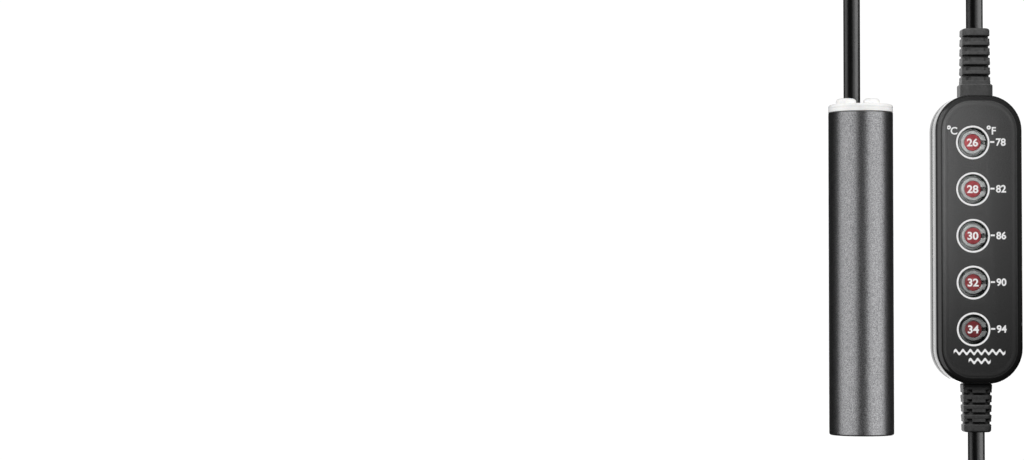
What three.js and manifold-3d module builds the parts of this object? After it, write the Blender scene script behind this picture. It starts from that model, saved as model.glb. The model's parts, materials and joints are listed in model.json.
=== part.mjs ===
// A small submersible aquarium heater: a round heating tube, a wired thermostat with five temperature
// keys, and a mains cord with a two-pin plug. The object stands upright with its front towards -Y.
// The origin is the centre of the heating tube's flat foot. All lengths are in millimetres.

import * as THREE from "three";
import { mergeVertices } from "three/addons/utils/BufferGeometryUtils.js";
import Module from "manifold-3d";

const wasm = await Module();
wasm.setup();

// ---------------------------------------------------------------- driving dimensions

const FIT = 0.1; // gap between pieces that touch or are pressed together
const CABLE_RADIUS = 2.6;

const TUBE = { radius: 10, length: 100, wall: 1, floor: 1.5, edge: 0.7 };

const CAP = {
  radius: 10.05,
  thickness: 2.4,
  spigot: 3.5, // length of the part that sits inside the tube
  domes: [
    { name: "water_sensor", x: -5.2, y: -4.1, radius: 3.15, height: 1.75 },
    { name: "cutout_sensor", x: 2.6, y: -4.85, radius: 2.55, height: 1.85 },
  ],
};
const CAP_RIM = [0.8, 0.25]; // the chamfers of the cap's upper rim, inwards and down
const CAP_GROOVE = { low: 1.3, high: 2.7, depth: 1, cord: 0.55 }; // for the O-ring, up from the spigot's end
// Shares of a sensor dome's radius and height, up its rounded shoulder.
const DOME_CURVE = [
  [1, 0.45],
  [0.9, 0.75],
  [0.7, 0.93],
  [0, 1],
];
const DOME_POCKET = { radius: 1.6, top: 0.75 };
const CAP_BASE = TUBE.length + FIT;
const CAP_TOP = CAP_BASE + CAP.thickness;
const CABLE_IN_CAP = { x: -2.4, y: 1.85 };

const CORE = { radius: 4, bore: 1, bottom: 3.7, top: 80 };
const COIL = { radius: 4.6, wire: 0.4, turns: 10, bottom: 9, top: 72 };
const SLEEVE = { inner: 5.6, outer: 6.2, bottom: 5.2, top: 75.5 };
const SPACER_RADIUS = TUBE.radius - TUBE.wall - 2 * FIT;
const LOWER_SPACER = { bottom: TUBE.floor + FIT, socket: 3.6, top: 5 };
const UPPER_SPACER = { bottom: 76, top: 79 };
const POTTING = { bottom: 90.6, top: 96.4 };
const CABLE_END_IN_TUBE = POTTING.bottom + 0.2;
const SENSOR = { leg: 0.55, legOut: 1.2, body: 1.2, bodyFoot: 1, tip: 0.8 };
const SENSOR_LEG_HOLE = 0.8;
const THERMAL_FUSE = { leg: 0.4, can: 1.5, canBottom: 80.8, canTop: 87.2, top: 90.2 };
const LEAD = { radius: 0.45, bend: [-1.6, 1.2, 87.5], end: [-2.3, 1.7, 90.3] };

const CASE = { width: 26.85, height: 89.4, depth: 14, corner: 11, face: 1.2, wall: 1.6 };
const CASE_CENTRE = { x: 35.75, z: 60.6 };
// How far the case's rounded edges reach inwards across a face, and how far back along the sides.
const FRONT_EDGE = { inset: 2.3, depth: 1.8 };
const REAR_EDGE = { inset: 2.3, depth: 3.2 };
const CAVITY_EDGE = { inset: 2, depth: 2 };
const FRONT = -CASE.depth / 2;
const REAR = CASE.depth / 2;
const FACE_INSIDE = FRONT + CASE.face;
const REAR_INSIDE = REAR - CASE.wall;

const SCREW = { x: 7.6, z: 38.7, head: 1.8, headHeight: 1.5, shank: 0.9, seat: 4.6, tip: -4.2 };
const BOSS = { front: 2.2, rear: 2.6, pilot: 1, clearance: 1.2, counterbore: 2.05 };
const RIB = { z: 34.4, thickness: 1.2, gap: 3 };

const KEY = {
  x: -2.15,
  z: 1.05, // middle key above the middle of the case
  pitch: 14.42,
  radius: 3.55,
  flange: 3.85, // a wider rim below the face
  flangeTop: -5.4,
  opening: 4.4,
  window: 2.6,
  top: -6.9,
  back: -4.6,
  armTop: -5.5,
  armInner: 0.6,
  armOuter: 2.27,
  hinge: 6.2, // from the key's centre to the root of its arms
  post: -3.25,
  postRadius: 0.5,
};
const KEY_TEMPERATURES = [26, 28, 30, 32, 34];
const STRIP = { width: 2.9, ends: 3.6, stake: 0.8 };

const BOARD = { width: 16.4, height: 70, front: -0.9, back: 0.7 };
const SWITCH = { size: 3.2, top: -2.5, well: -1.3, plunger: 0.7, plungerTop: -2.95, plungerBack: -1.75 };
const SWITCH_CLEARANCE = 0.15; // round the plunger in its well
const LED = { radius: 1.4, top: -2.9, domeEdge: 0.9 };

// Components behind the board; z is counted from the middle of the case.
const TRIAC = { half: 5, thickness: 4.2, low: -24, high: -15 };
const TRIAC_TAB = { thickness: 1.3, low: -30.5, holeZ: -27.5, hole: 1.5 };
const CAPACITOR = { x: -5, radius: 2.1, low: 2, high: 14 };
const FUSE = { x: 5, glass: 1.4, end: 1.6, endLength: 3, low: 0, high: 16 };
const CHIP = { half: 2.5, thickness: 1.5, low: -11, high: -4 };
const WIRES = { width: 2.8, thickness: 1.2, padY: 2, padZ: 31.5 };

const RELIEF = {
  bore: CABLE_RADIUS + FIT,
  core: 3.5,
  neck: 4.2,
  opening: 4.4,
  flange: 5.6,
  flangeHalfDepth: 4.3,
  flangeInside: 3.8, // how far the inner flange reaches in from the end of the case
  flangeOutside: 2.2,
  groove: 1.05,
  pitch: 3.01,
};
const UPPER_RELIEF = { length: 21, grooves: 5, firstGroove: 6.2, base: 4.6, end: 4.3, collar: 5.15 };
const LOWER_RELIEF = { length: 15, grooves: 4, firstGroove: 3.15, base: 4.65, end: 4.35, collar: 0 };
const COLLAR = { height: 3.6, edge: 0.4 };
const RELIEF_TIP = { height: 0.8, inwards: 0.7 };
const CABLE_END_IN_CASE = CASE.height / 2 - 4.6;

const LOOP_TOP = 137; // where the heater cable starts its half turn
const LOOP_BOTTOM = -8; // where the mains cord starts its half turn

const PLUG = {
  x: 67.3,
  face: 34,
  length: 30,
  width: 26,
  neck: 11,
  shoulder: 10,
  depth: 13.6,
  edge: { inset: 1.6, depth: 1.6 },
  pinSpacing: 18.6,
  pinRadius: 2,
  pinLength: 19,
  pinRoot: 5.5,
  cordDepth: 11,
};

// ---------------------------------------------------------------- materials

const finish = (color, roughness, metalness = 0) =>
  new THREE.MeshStandardMaterial({ color, roughness, metalness });

const ANODISED = finish(0x47484a, 0.45, 0.7);
const BLACK_PLASTIC = finish(0x1f2022, 0.4);
const BLACK_RUBBER = finish(0x161618, 0.5);
const WHITE_PLASTIC = finish(0xf2f2f0, 0.35);
const GREY_KEY = finish(0xa9aba8, 0.35);
const RED_LENS = finish(0xb83a44, 0.25);
const CERAMIC = finish(0xe8e2d4, 0.7);
const MICA = finish(0xb8a986, 0.5);
const RESIN = finish(0x2b2b2b, 0.3);
const ALLOY_WIRE = finish(0x9a938a, 0.4, 0.9);
const STEEL = finish(0xb7babd, 0.35, 0.9);
const COPPER_WIRE = finish(0xb5352b, 0.5);
const BOARD_GREEN = finish(0x1f6b3a, 0.5);
const CHIP_BLACK = finish(0x101012, 0.5);
const LED_CLEAR = finish(0xf3efe6, 0.15);

// ---------------------------------------------------------------- solids from three.js geometry

// A closed geometry as a solid that can be joined and cut.
function solid(geometry) {
  const bare = new THREE.BufferGeometry();
  bare.setAttribute("position", geometry.getAttribute("position"));
  if (geometry.index) bare.setIndex(geometry.index);
  const merged = mergeVertices(bare, 1e-4);
  const corners = merged.index.array;
  const triangles = [];
  for (let i = 0; i < corners.length; i += 3) {
    const [a, b, c] = corners.slice(i, i + 3);
    if (a !== b && b !== c && c !== a) triangles.push(a, b, c);
  }
  const mesh = new wasm.Mesh({
    numProp: 3,
    vertProperties: merged.getAttribute("position").array,
    triVerts: new Uint32Array(triangles),
  });
  return new wasm.Manifold(mesh);
}

function box(x0, x1, y0, y1, z0, z1) {
  const geometry = new THREE.BoxGeometry(x1 - x0, y1 - y0, z1 - z0);
  return solid(geometry.translate((x0 + x1) / 2, (y0 + y1) / 2, (z0 + z1) / 2));
}

function rodY(x, z, radius, y0, y1, sides = 24) {
  const geometry = new THREE.CylinderGeometry(radius, radius, y1 - y0, sides);
  return solid(geometry.translate(x, (y0 + y1) / 2, z));
}

function rodZ(x, y, radius, z0, z1, sides = 24) {
  const geometry = new THREE.CylinderGeometry(radius, radius, z1 - z0, sides);
  return solid(geometry.rotateX(Math.PI / 2).translate(x, y, (z0 + z1) / 2));
}

// [radius, height] pairs, in order up the outside, turned about an upright axis through x, y.
function turned(profile, sides = 24, x = 0, y = 0) {
  const points = profile.map(([radius, height]) => new THREE.Vector2(radius, height));
  const geometry = new THREE.LatheGeometry(points, sides);
  return solid(geometry.rotateX(Math.PI / 2).translate(x, y, 0));
}

// The same, turned about an axis along Y through x, z: the heights are places along Y.
function turnedY(profile, sides, x, z) {
  const points = profile.map(([radius, height]) => new THREE.Vector2(radius, height));
  return solid(new THREE.LatheGeometry(points, sides).translate(x, 0, z));
}

// A round or flat strand along a curve; a round section gets twice as many sides as segments.
function strand(path, section, steps, curveSegments) {
  const settings = { extrudePath: path, steps, curveSegments, bevelEnabled: false };
  return solid(new THREE.ExtrudeGeometry(section, settings));
}

function disc(radius) {
  return new THREE.Shape().absarc(0, 0, radius, 0, 2 * Math.PI);
}

function roundedRectangle(width, height, corner) {
  const x = width / 2 - corner;
  const y = height / 2 - corner;
  const quarter = Math.PI / 2;
  return new THREE.Shape()
    .absarc(x, y, corner, 0, quarter)
    .absarc(-x, y, corner, quarter, 2 * quarter)
    .absarc(-x, -y, corner, 2 * quarter, 3 * quarter)
    .absarc(x, -y, corner, 3 * quarter, 4 * quarter);
}

// An outline in the XZ plane, given depth from y0 to y1, with its front and rear edges rounded.
function slab(outline, y0, y1, edge, curveSegments = 3) {
  const geometry = new THREE.ExtrudeGeometry(outline, {
    depth: y1 - y0 - 2 * edge.depth,
    bevelThickness: edge.depth,
    bevelSize: edge.inset,
    bevelOffset: -edge.inset,
    bevelSegments: 3,
    curveSegments,
  });
  return solid(geometry.rotateX(Math.PI / 2).translate(0, y1 - edge.depth, 0));
}

// A named mesh of a finished solid.
function piece(name, made, material) {
  const { vertProperties, triVerts } = made.getMesh();
  const geometry = new THREE.BufferGeometry();
  geometry.setAttribute("position", new THREE.BufferAttribute(vertProperties, 3));
  geometry.setIndex(new THREE.BufferAttribute(triVerts, 1));
  geometry.computeVertexNormals();
  const mesh = new THREE.Mesh(geometry, material);
  mesh.name = name;
  return mesh;
}

// ---------------------------------------------------------------- curves

// Straight, half a turn in an upright plane, and straight again: a cable's centre line.
class CableLoop extends THREE.Curve {
  constructor(start, end, turnZ) {
    super();
    this.start = start;
    this.end = end;
    this.turnZ = turnZ;
    this.half = end.clone().sub(start).setZ(0).multiplyScalar(0.5);
    this.radius = this.half.length();
    this.side = Math.sign(turnZ - start.z);
    this.lead = Math.abs(turnZ - start.z);
    this.arc = Math.PI * this.radius;
    this.total = this.lead + this.arc + Math.abs(turnZ - end.z);
  }

  getPoint(t, target = new THREE.Vector3()) {
    const travel = t * this.total;
    if (travel < this.lead) {
      return target.copy(this.start).setZ(this.start.z + this.side * travel);
    }
    if (travel > this.lead + this.arc) {
      const past = travel - this.lead - this.arc;
      return target.copy(this.end).setZ(this.turnZ - this.side * past);
    }
    const angle = (travel - this.lead) / this.radius;
    target.copy(this.start).add(this.half).addScaledVector(this.half, -Math.cos(angle));
    return target.setZ(this.turnZ + this.side * this.radius * Math.sin(angle));
  }
}

class Helix extends THREE.Curve {
  constructor({ radius, turns, bottom, top }) {
    super();
    this.radius = radius;
    this.turns = turns;
    this.bottom = bottom;
    this.rise = top - bottom;
  }

  getPoint(t, target = new THREE.Vector3()) {
    const angle = 2 * Math.PI * this.turns * t;
    const height = this.bottom + this.rise * t;
    return target.set(this.radius * Math.cos(angle), this.radius * Math.sin(angle), height);
  }
}

// ---------------------------------------------------------------- the heating tube

function heaterTube() {
  const { radius, length, wall, floor, edge } = TUBE;
  const profile = [
    [0, 0],
    [radius - edge, 0],
    [radius - 0.3 * edge, 0.3 * edge],
    [radius, edge],
    [radius, length],
    [radius - wall, length],
    [radius - wall, floor],
    [0, floor],
  ];
  return piece("heater_tube", turned(profile, 40), ANODISED);
}

function capDome({ x, y, radius, height }) {
  const foot = CAP_TOP - 3 * FIT;
  const shoulder = DOME_CURVE.map(([across, up]) => [across * radius, CAP_TOP + up * height]);
  return turned([[0, foot], [radius, foot], ...shoulder], 16, x, y);
}

// The white cap: a flange on the tube's rim, a spigot with an O-ring groove, two sensor domes that are
// hollow from below, and the cable's hole.
function topCap() {
  const bottom = CAP_BASE - CAP.spigot;
  const grooveRadius = SPACER_RADIUS - CAP_GROOVE.depth;
  const [rim, drop] = CAP_RIM;
  const profile = [
    [0, bottom],
    [SPACER_RADIUS, bottom],
    [SPACER_RADIUS, bottom + CAP_GROOVE.low],
    [grooveRadius, bottom + CAP_GROOVE.low],
    [grooveRadius, bottom + CAP_GROOVE.high],
    [SPACER_RADIUS, bottom + CAP_GROOVE.high],
    [SPACER_RADIUS, CAP_BASE],
    [CAP.radius, CAP_BASE],
    [CAP.radius, CAP_TOP - rim],
    [CAP.radius - drop, CAP_TOP - drop],
    [CAP.radius - rim, CAP_TOP],
    [0, CAP_TOP],
  ];
  let cap = turned(profile, 30);
  for (const dome of CAP.domes) {
    const pocket = rodZ(dome.x, dome.y, DOME_POCKET.radius, bottom - 1, CAP_TOP + DOME_POCKET.top, 12);
    cap = cap.add(capDome(dome)).subtract(pocket);
  }
  const cableHole = rodZ(CABLE_IN_CAP.x, CABLE_IN_CAP.y, CABLE_RADIUS + 2 * FIT, bottom - 1, CAP_TOP + 1);
  return piece("top_cap", cap.subtract(cableHole), WHITE_PLASTIC);
}

function capSeal() {
  const { low, high, cord } = CAP_GROOVE;
  const ring = new THREE.TorusGeometry(SPACER_RADIUS - cord + 0.15, cord, 6, 24);
  const height = CAP_BASE - CAP.spigot + (low + high) / 2;
  return piece("cap_seal", solid(ring.translate(0, 0, height)), BLACK_RUBBER);
}

// Resin that fills the mouth of the tube round the cable and the sensor legs.
function pottingPlug() {
  const { bottom, top } = POTTING;
  let plug = rodZ(0, 0, SPACER_RADIUS, bottom, top, 30);
  const cableHole = rodZ(CABLE_IN_CAP.x, CABLE_IN_CAP.y, CABLE_RADIUS + 2 * FIT, bottom - 1, top + 1);
  plug = plug.subtract(cableHole);
  for (const { x, y } of CAP.domes) {
    plug = plug.subtract(rodZ(x, y, SENSOR_LEG_HOLE, bottom - 1, top + 1, 12));
  }
  return piece("potting_plug", plug, RESIN);
}

// A temperature probe: its tip stands in a dome and its legs run down through the resin.
function sensor({ name, x, y }) {
  const { leg, legOut, body, bodyFoot, tip } = SENSOR;
  const profile = [
    [0, POTTING.bottom - legOut],
    [leg, POTTING.bottom - legOut],
    [leg, CAP_BASE - bodyFoot - (body - leg)],
    [body, CAP_BASE - bodyFoot],
    [body, CAP_TOP - 3 * FIT],
    [tip, CAP_TOP + 3 * FIT],
    [0, CAP_TOP + 5 * FIT],
  ];
  return piece(name, turned(profile, 12, x, y), STEEL);
}

function ceramicCore() {
  const { radius, bore, bottom, top } = CORE;
  const rod = rodZ(0, 0, radius, bottom, top, 20);
  return piece("ceramic_core", rod.subtract(rodZ(0, 0, bore, bottom - 1, top + 1, 12)), CERAMIC);
}

function heatingWire() {
  const wire = strand(new Helix(COIL), disc(COIL.wire), 10 * COIL.turns, 2);
  return piece("heating_wire", wire, ALLOY_WIRE);
}

function insulationSleeve() {
  const { inner, outer, bottom, top } = SLEEVE;
  const tube = rodZ(0, 0, outer, bottom, top, 20).subtract(rodZ(0, 0, inner, bottom - 1, top + 1, 20));
  return piece("insulation_sleeve", tube, MICA);
}

function lowerSpacer() {
  const { bottom, socket, top } = LOWER_SPACER;
  const ring = rodZ(0, 0, SPACER_RADIUS, bottom, top, 30);
  const coreSocket = rodZ(0, 0, CORE.radius + 2 * FIT, socket, top + 1, 20);
  return piece("lower_spacer", ring.subtract(coreSocket), CERAMIC);
}

function upperSpacer() {
  const { bottom, top } = UPPER_SPACER;
  const ring = rodZ(0, 0, SPACER_RADIUS, bottom, top, 30);
  const coreHole = rodZ(0, 0, CORE.radius + 2 * FIT, bottom - 1, top + 1, 20);
  const legHole = rodZ(COIL.radius, 0, 0.7, bottom - 1, top + 1, 12);
  return piece("upper_spacer", ring.subtract(coreHole).subtract(legHole), CERAMIC);
}

// The fuse that opens if the tube runs dry: a small can with a leg at each end, above the coil's end.
function thermalFuse() {
  const { leg, can, canBottom, canTop, top } = THERMAL_FUSE;
  const bottom = COIL.top + COIL.wire + 3 * FIT;
  const profile = [
    [0, bottom],
    [leg, bottom],
    [leg, canBottom - 0.3],
    [can, canBottom],
    [can, canTop],
    [leg, canTop + 0.6],
    [leg, top],
    [0, top],
  ];
  return piece("thermal_fuse", turned(profile, 12, COIL.radius, 0), STEEL);
}

// The coil's return wire, up through the bore of the core and over to the cable.
function elementLead() {
  const path = new THREE.CatmullRomCurve3([
    new THREE.Vector3(0, 0, CORE.bottom + 1.5),
    new THREE.Vector3(0, 0, (CORE.bottom + CORE.top) / 2),
    new THREE.Vector3(0, 0, CORE.top + 1),
    new THREE.Vector3(...LEAD.bend),
    new THREE.Vector3(...LEAD.end),
  ]);
  return piece("element_lead", strand(path, disc(LEAD.radius), 14, 3), COPPER_WIRE);
}

function heaterGroup() {
  const group = new THREE.Group();
  group.add(heaterTube(), topCap(), capSeal(), pottingPlug());
  group.add(ceramicCore(), heatingWire(), insulationSleeve(), lowerSpacer(), upperSpacer());
  group.add(thermalFuse(), elementLead(), ...CAP.domes.map(sensor));
  return group;
}

// ---------------------------------------------------------------- the thermostat's case

const screwPlaces = [
  [-SCREW.x, SCREW.z],
  [SCREW.x, SCREW.z],
  [-SCREW.x, -SCREW.z],
  [SCREW.x, -SCREW.z],
];
const keyPlaces = KEY_TEMPERATURES.map((temperature, index) => ({
  temperature,
  z: KEY.z + KEY.pitch * (2 - index),
}));
const stakeX = KEY.x + KEY.hinge + 0.3 + STRIP.width / 2;
const stakePlaces = keyPlaces.slice(1).map(({ z }) => z + KEY.pitch / 2);

// One half of the hollow case, between y0 and y1, with the openings for both strain reliefs.
function caseHalf(y0, y1, edge) {
  const { width, height, corner, wall } = CASE;
  const outer = slab(roundedRectangle(width, height, corner), FRONT, REAR, edge);
  const inside = roundedRectangle(width - 2 * wall, height - 2 * wall, corner - wall);
  const cavity = slab(inside, FACE_INSIDE, REAR_INSIDE, CAVITY_EDGE);
  const openings = rodZ(0, 0, RELIEF.opening, -height / 2 - 1, height / 2 + 1);
  return outer.intersect(box(-width, width, y0, y1, -height, height)).subtract(cavity).subtract(openings);
}

// Ribs on both sides, above and below the board, that hold the board's edges between the two halves.
function boardRibs(y0, y1) {
  const reach = CASE.width / 2 - CASE.wall / 2;
  const low = RIB.z - RIB.thickness / 2;
  const high = RIB.z + RIB.thickness / 2;
  const upper = box(RIB.gap, reach, y0, y1, low, high).add(box(-reach, -RIB.gap, y0, y1, low, high));
  return upper.add(upper.mirror([0, 0, 1]));
}

function frontCover() {
  let cover = caseHalf(FRONT - 1, -FIT / 2, FRONT_EDGE);
  cover = cover.add(boardRibs(FACE_INSIDE - 0.4, BOARD.front - FIT));
  for (const [x, z] of screwPlaces) {
    cover = cover.add(rodY(x, z, BOSS.front, FACE_INSIDE - 0.4, -FIT / 2, 12));
    cover = cover.subtract(rodY(x, z, BOSS.pilot, SCREW.tip - 0.3, 1, 12));
  }
  for (const z of stakePlaces) {
    cover = cover.add(rodY(stakeX, z, STRIP.stake, FACE_INSIDE - 0.4, KEY.back + 0.4, 12));
  }
  for (const { z } of keyPlaces) {
    cover = cover.subtract(rodY(KEY.x, z, KEY.opening, FRONT - 1, FACE_INSIDE + 0.2, 24));
  }
  return piece("front_cover", cover, BLACK_PLASTIC);
}

function rearCover() {
  let cover = caseHalf(FIT / 2, REAR + 1, REAR_EDGE);
  cover = cover.add(boardRibs(BOARD.back + FIT, REAR_INSIDE + 0.4));
  for (const [x, z] of screwPlaces) {
    cover = cover.add(rodY(x, z, BOSS.rear, FIT / 2, REAR_INSIDE + 0.6, 12));
    cover = cover.subtract(rodY(x, z, BOSS.clearance, -1, REAR, 12));
    cover = cover.subtract(rodY(x, z, BOSS.counterbore, SCREW.seat, REAR + 1, 16));
  }
  return piece("rear_cover", cover, BLACK_PLASTIC);
}

// A self-tapping screw with a cross recess in its head.
function coverScrew([x, z], index) {
  const seat = SCREW.seat + FIT;
  const top = seat + SCREW.headHeight;
  const profile = [
    [0, SCREW.tip],
    [SCREW.shank / 2, SCREW.tip],
    [SCREW.shank, SCREW.tip + 0.9],
    [SCREW.shank, seat],
    [SCREW.head, seat],
    [SCREW.head, top - 0.4],
    [SCREW.head - 0.4, top],
    [0, top],
  ];
  const slotLong = 1.1;
  const slotWide = 0.25;
  const slotDeep = 0.8;
  const crossed = box(x - slotLong, x + slotLong, top - slotDeep, top + 1, z - slotWide, z + slotWide).add(
    box(x - slotWide, x + slotWide, top - slotDeep, top + 1, z - slotLong, z + slotLong),
  );
  return piece(`cover_screw_${index + 1}`, turnedY(profile, 12, x, z).subtract(crossed), STEEL);
}

// ---------------------------------------------------------------- the keys and what they press

// A round key on two arms: the arms run under the cover to their root, where the key hinges.
function key({ temperature, z }) {
  const arms = box(2, KEY.hinge, KEY.armTop, KEY.back, -KEY.armOuter, KEY.armOuter);
  const collar = rodY(0, 0, KEY.opening - 0.3, KEY.top, KEY.back, 24);
  const armTops = collar.intersect(box(2, KEY.opening, -10, 0, -KEY.armOuter, KEY.armOuter));
  const slot = box(1.5, KEY.hinge - 0.9, -10, 0, -KEY.armInner, KEY.armInner);
  const made = rodY(0, 0, KEY.radius, KEY.top, KEY.back, 20)
    .add(rodY(0, 0, KEY.flange, KEY.flangeTop, KEY.back, 20))
    .add(arms)
    .add(armTops)
    .subtract(slot)
    .subtract(rodY(0, 0, KEY.window, -10, 0, 16))
    .add(rodY(KEY.post, 0, KEY.postRadius, KEY.back - 0.3, SWITCH.plungerTop - FIT, 8));
  return piece(`key_${temperature}`, made.translate([KEY.x, 0, z]), GREY_KEY);
}

// The red window in the middle of a key.
function keyLens({ temperature, z }) {
  const lens = rodY(KEY.x, z, KEY.window - FIT, KEY.top + 0.05, KEY.back - 0.3, 16);
  return piece(`key_lens_${temperature}`, lens, RED_LENS);
}

// The fixed bar that the five keys' arms grow from, staked to the inside of the front cover.
function keyStrip() {
  const left = KEY.x + KEY.hinge + 0.3;
  const low = keyPlaces.at(-1).z - STRIP.ends;
  const high = keyPlaces[0].z + STRIP.ends;
  let strip = box(left, left + STRIP.width, KEY.armTop - 0.1, KEY.back, low, high);
  for (const z of stakePlaces) strip = strip.subtract(rodY(stakeX, z, STRIP.stake + 2 * FIT, -10, 0, 12));
  return piece("key_strip", strip, GREY_KEY);
}

function led({ temperature, z }) {
  const { radius, top, domeEdge } = LED;
  const profile = [
    [0, top],
    [0.6 * radius, top + 0.28 * domeEdge],
    [radius, top + domeEdge],
    [radius, BOARD.front - FIT],
    [0, BOARD.front - FIT],
  ];
  return piece(`led_${temperature}`, turnedY(profile, 12, KEY.x, z), LED_CLEAR);
}

function switchBody({ temperature, z }) {
  const x = KEY.x + KEY.post;
  const half = SWITCH.size / 2;
  const body = box(x - half, x + half, SWITCH.top, BOARD.front - FIT, z - half, z + half);
  const well = rodY(x, z, SWITCH.plunger + SWITCH_CLEARANCE, SWITCH.top - 1, SWITCH.well, 12);
  return piece(`switch_body_${temperature}`, body.subtract(well), CHIP_BLACK);
}

function switchPlunger({ temperature, z }) {
  const plunger = rodY(KEY.x + KEY.post, z, SWITCH.plunger, SWITCH.plungerTop, SWITCH.plungerBack, 12);
  return piece(`switch_plunger_${temperature}`, plunger, WHITE_PLASTIC);
}

// ---------------------------------------------------------------- the circuit board

const behindBoard = BOARD.back + FIT;

function circuitBoard() {
  const halfWidth = BOARD.width / 2;
  const halfHeight = BOARD.height / 2;
  const board = box(-halfWidth, halfWidth, BOARD.front, BOARD.back, -halfHeight, halfHeight);
  return piece("circuit_board", board, BOARD_GREEN);
}

// The power switch: a flat package with its metal tab.
function triac() {
  const { half, thickness, low, high } = TRIAC;
  const body = box(-half, half, behindBoard, behindBoard + thickness, low, high);
  const tab = box(-half, half, behindBoard, behindBoard + TRIAC_TAB.thickness, TRIAC_TAB.low, low + 1);
  const hole = rodY(0, TRIAC_TAB.holeZ, TRIAC_TAB.hole, -2, REAR, 16);
  return piece("triac", body.add(tab).subtract(hole), CHIP_BLACK);
}

function capacitor() {
  const { x, radius, low, high } = CAPACITOR;
  return piece("capacitor", rodZ(x, behindBoard + radius, radius, low, high, 16), CHIP_BLACK);
}

function fuse() {
  const { x, glass, end, endLength, low, high } = FUSE;
  const y = behindBoard + end + 2 * FIT;
  const tube = rodZ(x, y, glass, low + 1, high - 1, 14);
  const lowerEnd = rodZ(x, y, end, low, low + endLength, 14);
  const upperEnd = rodZ(x, y, end, high - endLength, high, 14);
  return piece("fuse", tube.add(lowerEnd).add(upperEnd), STEEL);
}

function controlChip() {
  const { half, thickness, low, high } = CHIP;
  return piece("control_chip", box(-half, half, behindBoard, behindBoard + thickness, low, high), CHIP_BLACK);
}

// A flat pair of wires from a cable's end to solder pads behind the board; `side` is 1 up, -1 down.
function wirePair(name, side) {
  const { width, thickness, padY, padZ } = WIRES;
  const start = CABLE_END_IN_CASE - 4 * FIT;
  const path = new THREE.CatmullRomCurve3([
    new THREE.Vector3(0, 0, side * start),
    new THREE.Vector3(0, 0.3 * padY, side * (start - 1.4)),
    new THREE.Vector3(0, 0.95 * padY, side * (start - 4.4)),
    new THREE.Vector3(0, padY, side * padZ),
  ]);
  const x = width / 2;
  const y = thickness / 2;
  const section = new THREE.Shape().moveTo(-x, -y).lineTo(x, -y).lineTo(x, y).lineTo(-x, y).closePath();
  return piece(name, strand(path, section, 8, 1), COPPER_WIRE);
}

// ---------------------------------------------------------------- strain reliefs

// A flexible sleeve on the cable: a flange and neck held in the case, then rings parted by grooves.
// Heights run outwards from the end of the case; `side` is 1 for the upper sleeve and -1 for the lower.
function strainRelief(name, { length, grooves, firstGroove, base, end, collar }, side) {
  const halfGroove = RELIEF.groove / 2;
  const slope = (end - base) / length;
  const ringRadius = (height) => base + slope * height;
  const outside = [
    [RELIEF.bore, -RELIEF.flangeInside],
    [RELIEF.flange, -RELIEF.flangeInside],
    [RELIEF.flange, -RELIEF.flangeOutside],
    [RELIEF.neck, -RELIEF.flangeOutside],
    [RELIEF.neck, FIT],
  ];
  if (collar) {
    const { height, edge } = COLLAR;
    outside.push([collar, FIT], [collar, height - edge], [collar - edge, height]);
    outside.push([ringRadius(height), height]);
  } else {
    outside.push([ringRadius(FIT), FIT]);
  }
  for (let i = 0; i < grooves; i += 1) {
    const middle = firstGroove + i * RELIEF.pitch;
    const radius = ringRadius(middle);
    outside.push([radius, middle - halfGroove], [RELIEF.core, middle - halfGroove]);
    outside.push([RELIEF.core, middle + halfGroove], [radius, middle + halfGroove]);
  }
  outside.push([end, length - RELIEF_TIP.height], [end - RELIEF_TIP.inwards, length]);
  outside.push([RELIEF.bore, length], outside[0]);
  const { flange, flangeHalfDepth, flangeInside, flangeOutside } = RELIEF;
  const flat = box(-flange, flange, flangeHalfDepth, flange, -flangeInside - 1, -flangeOutside + 0.1);
  const upper = turned(outside, 16).subtract(flat).subtract(flat.mirror([0, 1, 0]));
  const placed = side > 0 ? upper : upper.mirror([0, 0, 1]);
  return piece(name, placed.translate([0, 0, side * (CASE.height / 2)]), BLACK_RUBBER);
}

function thermostatGroup() {
  const group = new THREE.Group();
  group.position.set(CASE_CENTRE.x, 0, CASE_CENTRE.z);
  group.add(frontCover(), rearCover(), ...screwPlaces.map(coverScrew));
  group.add(keyStrip(), ...keyPlaces.map(key), ...keyPlaces.map(keyLens));
  group.add(...keyPlaces.map(led), ...keyPlaces.map(switchBody), ...keyPlaces.map(switchPlunger));
  group.add(circuitBoard(), triac(), capacitor(), fuse(), controlChip());
  group.add(wirePair("heater_wires", 1), wirePair("supply_wires", -1));
  group.add(strainRelief("upper_strain_relief", UPPER_RELIEF, 1));
  group.add(strainRelief("lower_strain_relief", LOWER_RELIEF, -1));
  return group;
}

// ---------------------------------------------------------------- cables and plug

function heaterCable() {
  const start = new THREE.Vector3(CABLE_IN_CAP.x, CABLE_IN_CAP.y, CABLE_END_IN_TUBE);
  const end = new THREE.Vector3(CASE_CENTRE.x, 0, CASE_CENTRE.z + CABLE_END_IN_CASE);
  const path = new CableLoop(start, end, LOOP_TOP);
  return piece("heater_cable", strand(path, disc(CABLE_RADIUS), 26, 6), BLACK_RUBBER);
}

function powerCord() {
  const start = new THREE.Vector3(CASE_CENTRE.x, 0, CASE_CENTRE.z - CABLE_END_IN_CASE);
  const end = new THREE.Vector3(PLUG.x, 0, PLUG.face - PLUG.length + PLUG.cordDepth - FIT);
  const path = new CableLoop(start, end, LOOP_BOTTOM);
  return piece("power_cord", strand(path, disc(CABLE_RADIUS), 22, 6), BLACK_RUBBER);
}

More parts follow.
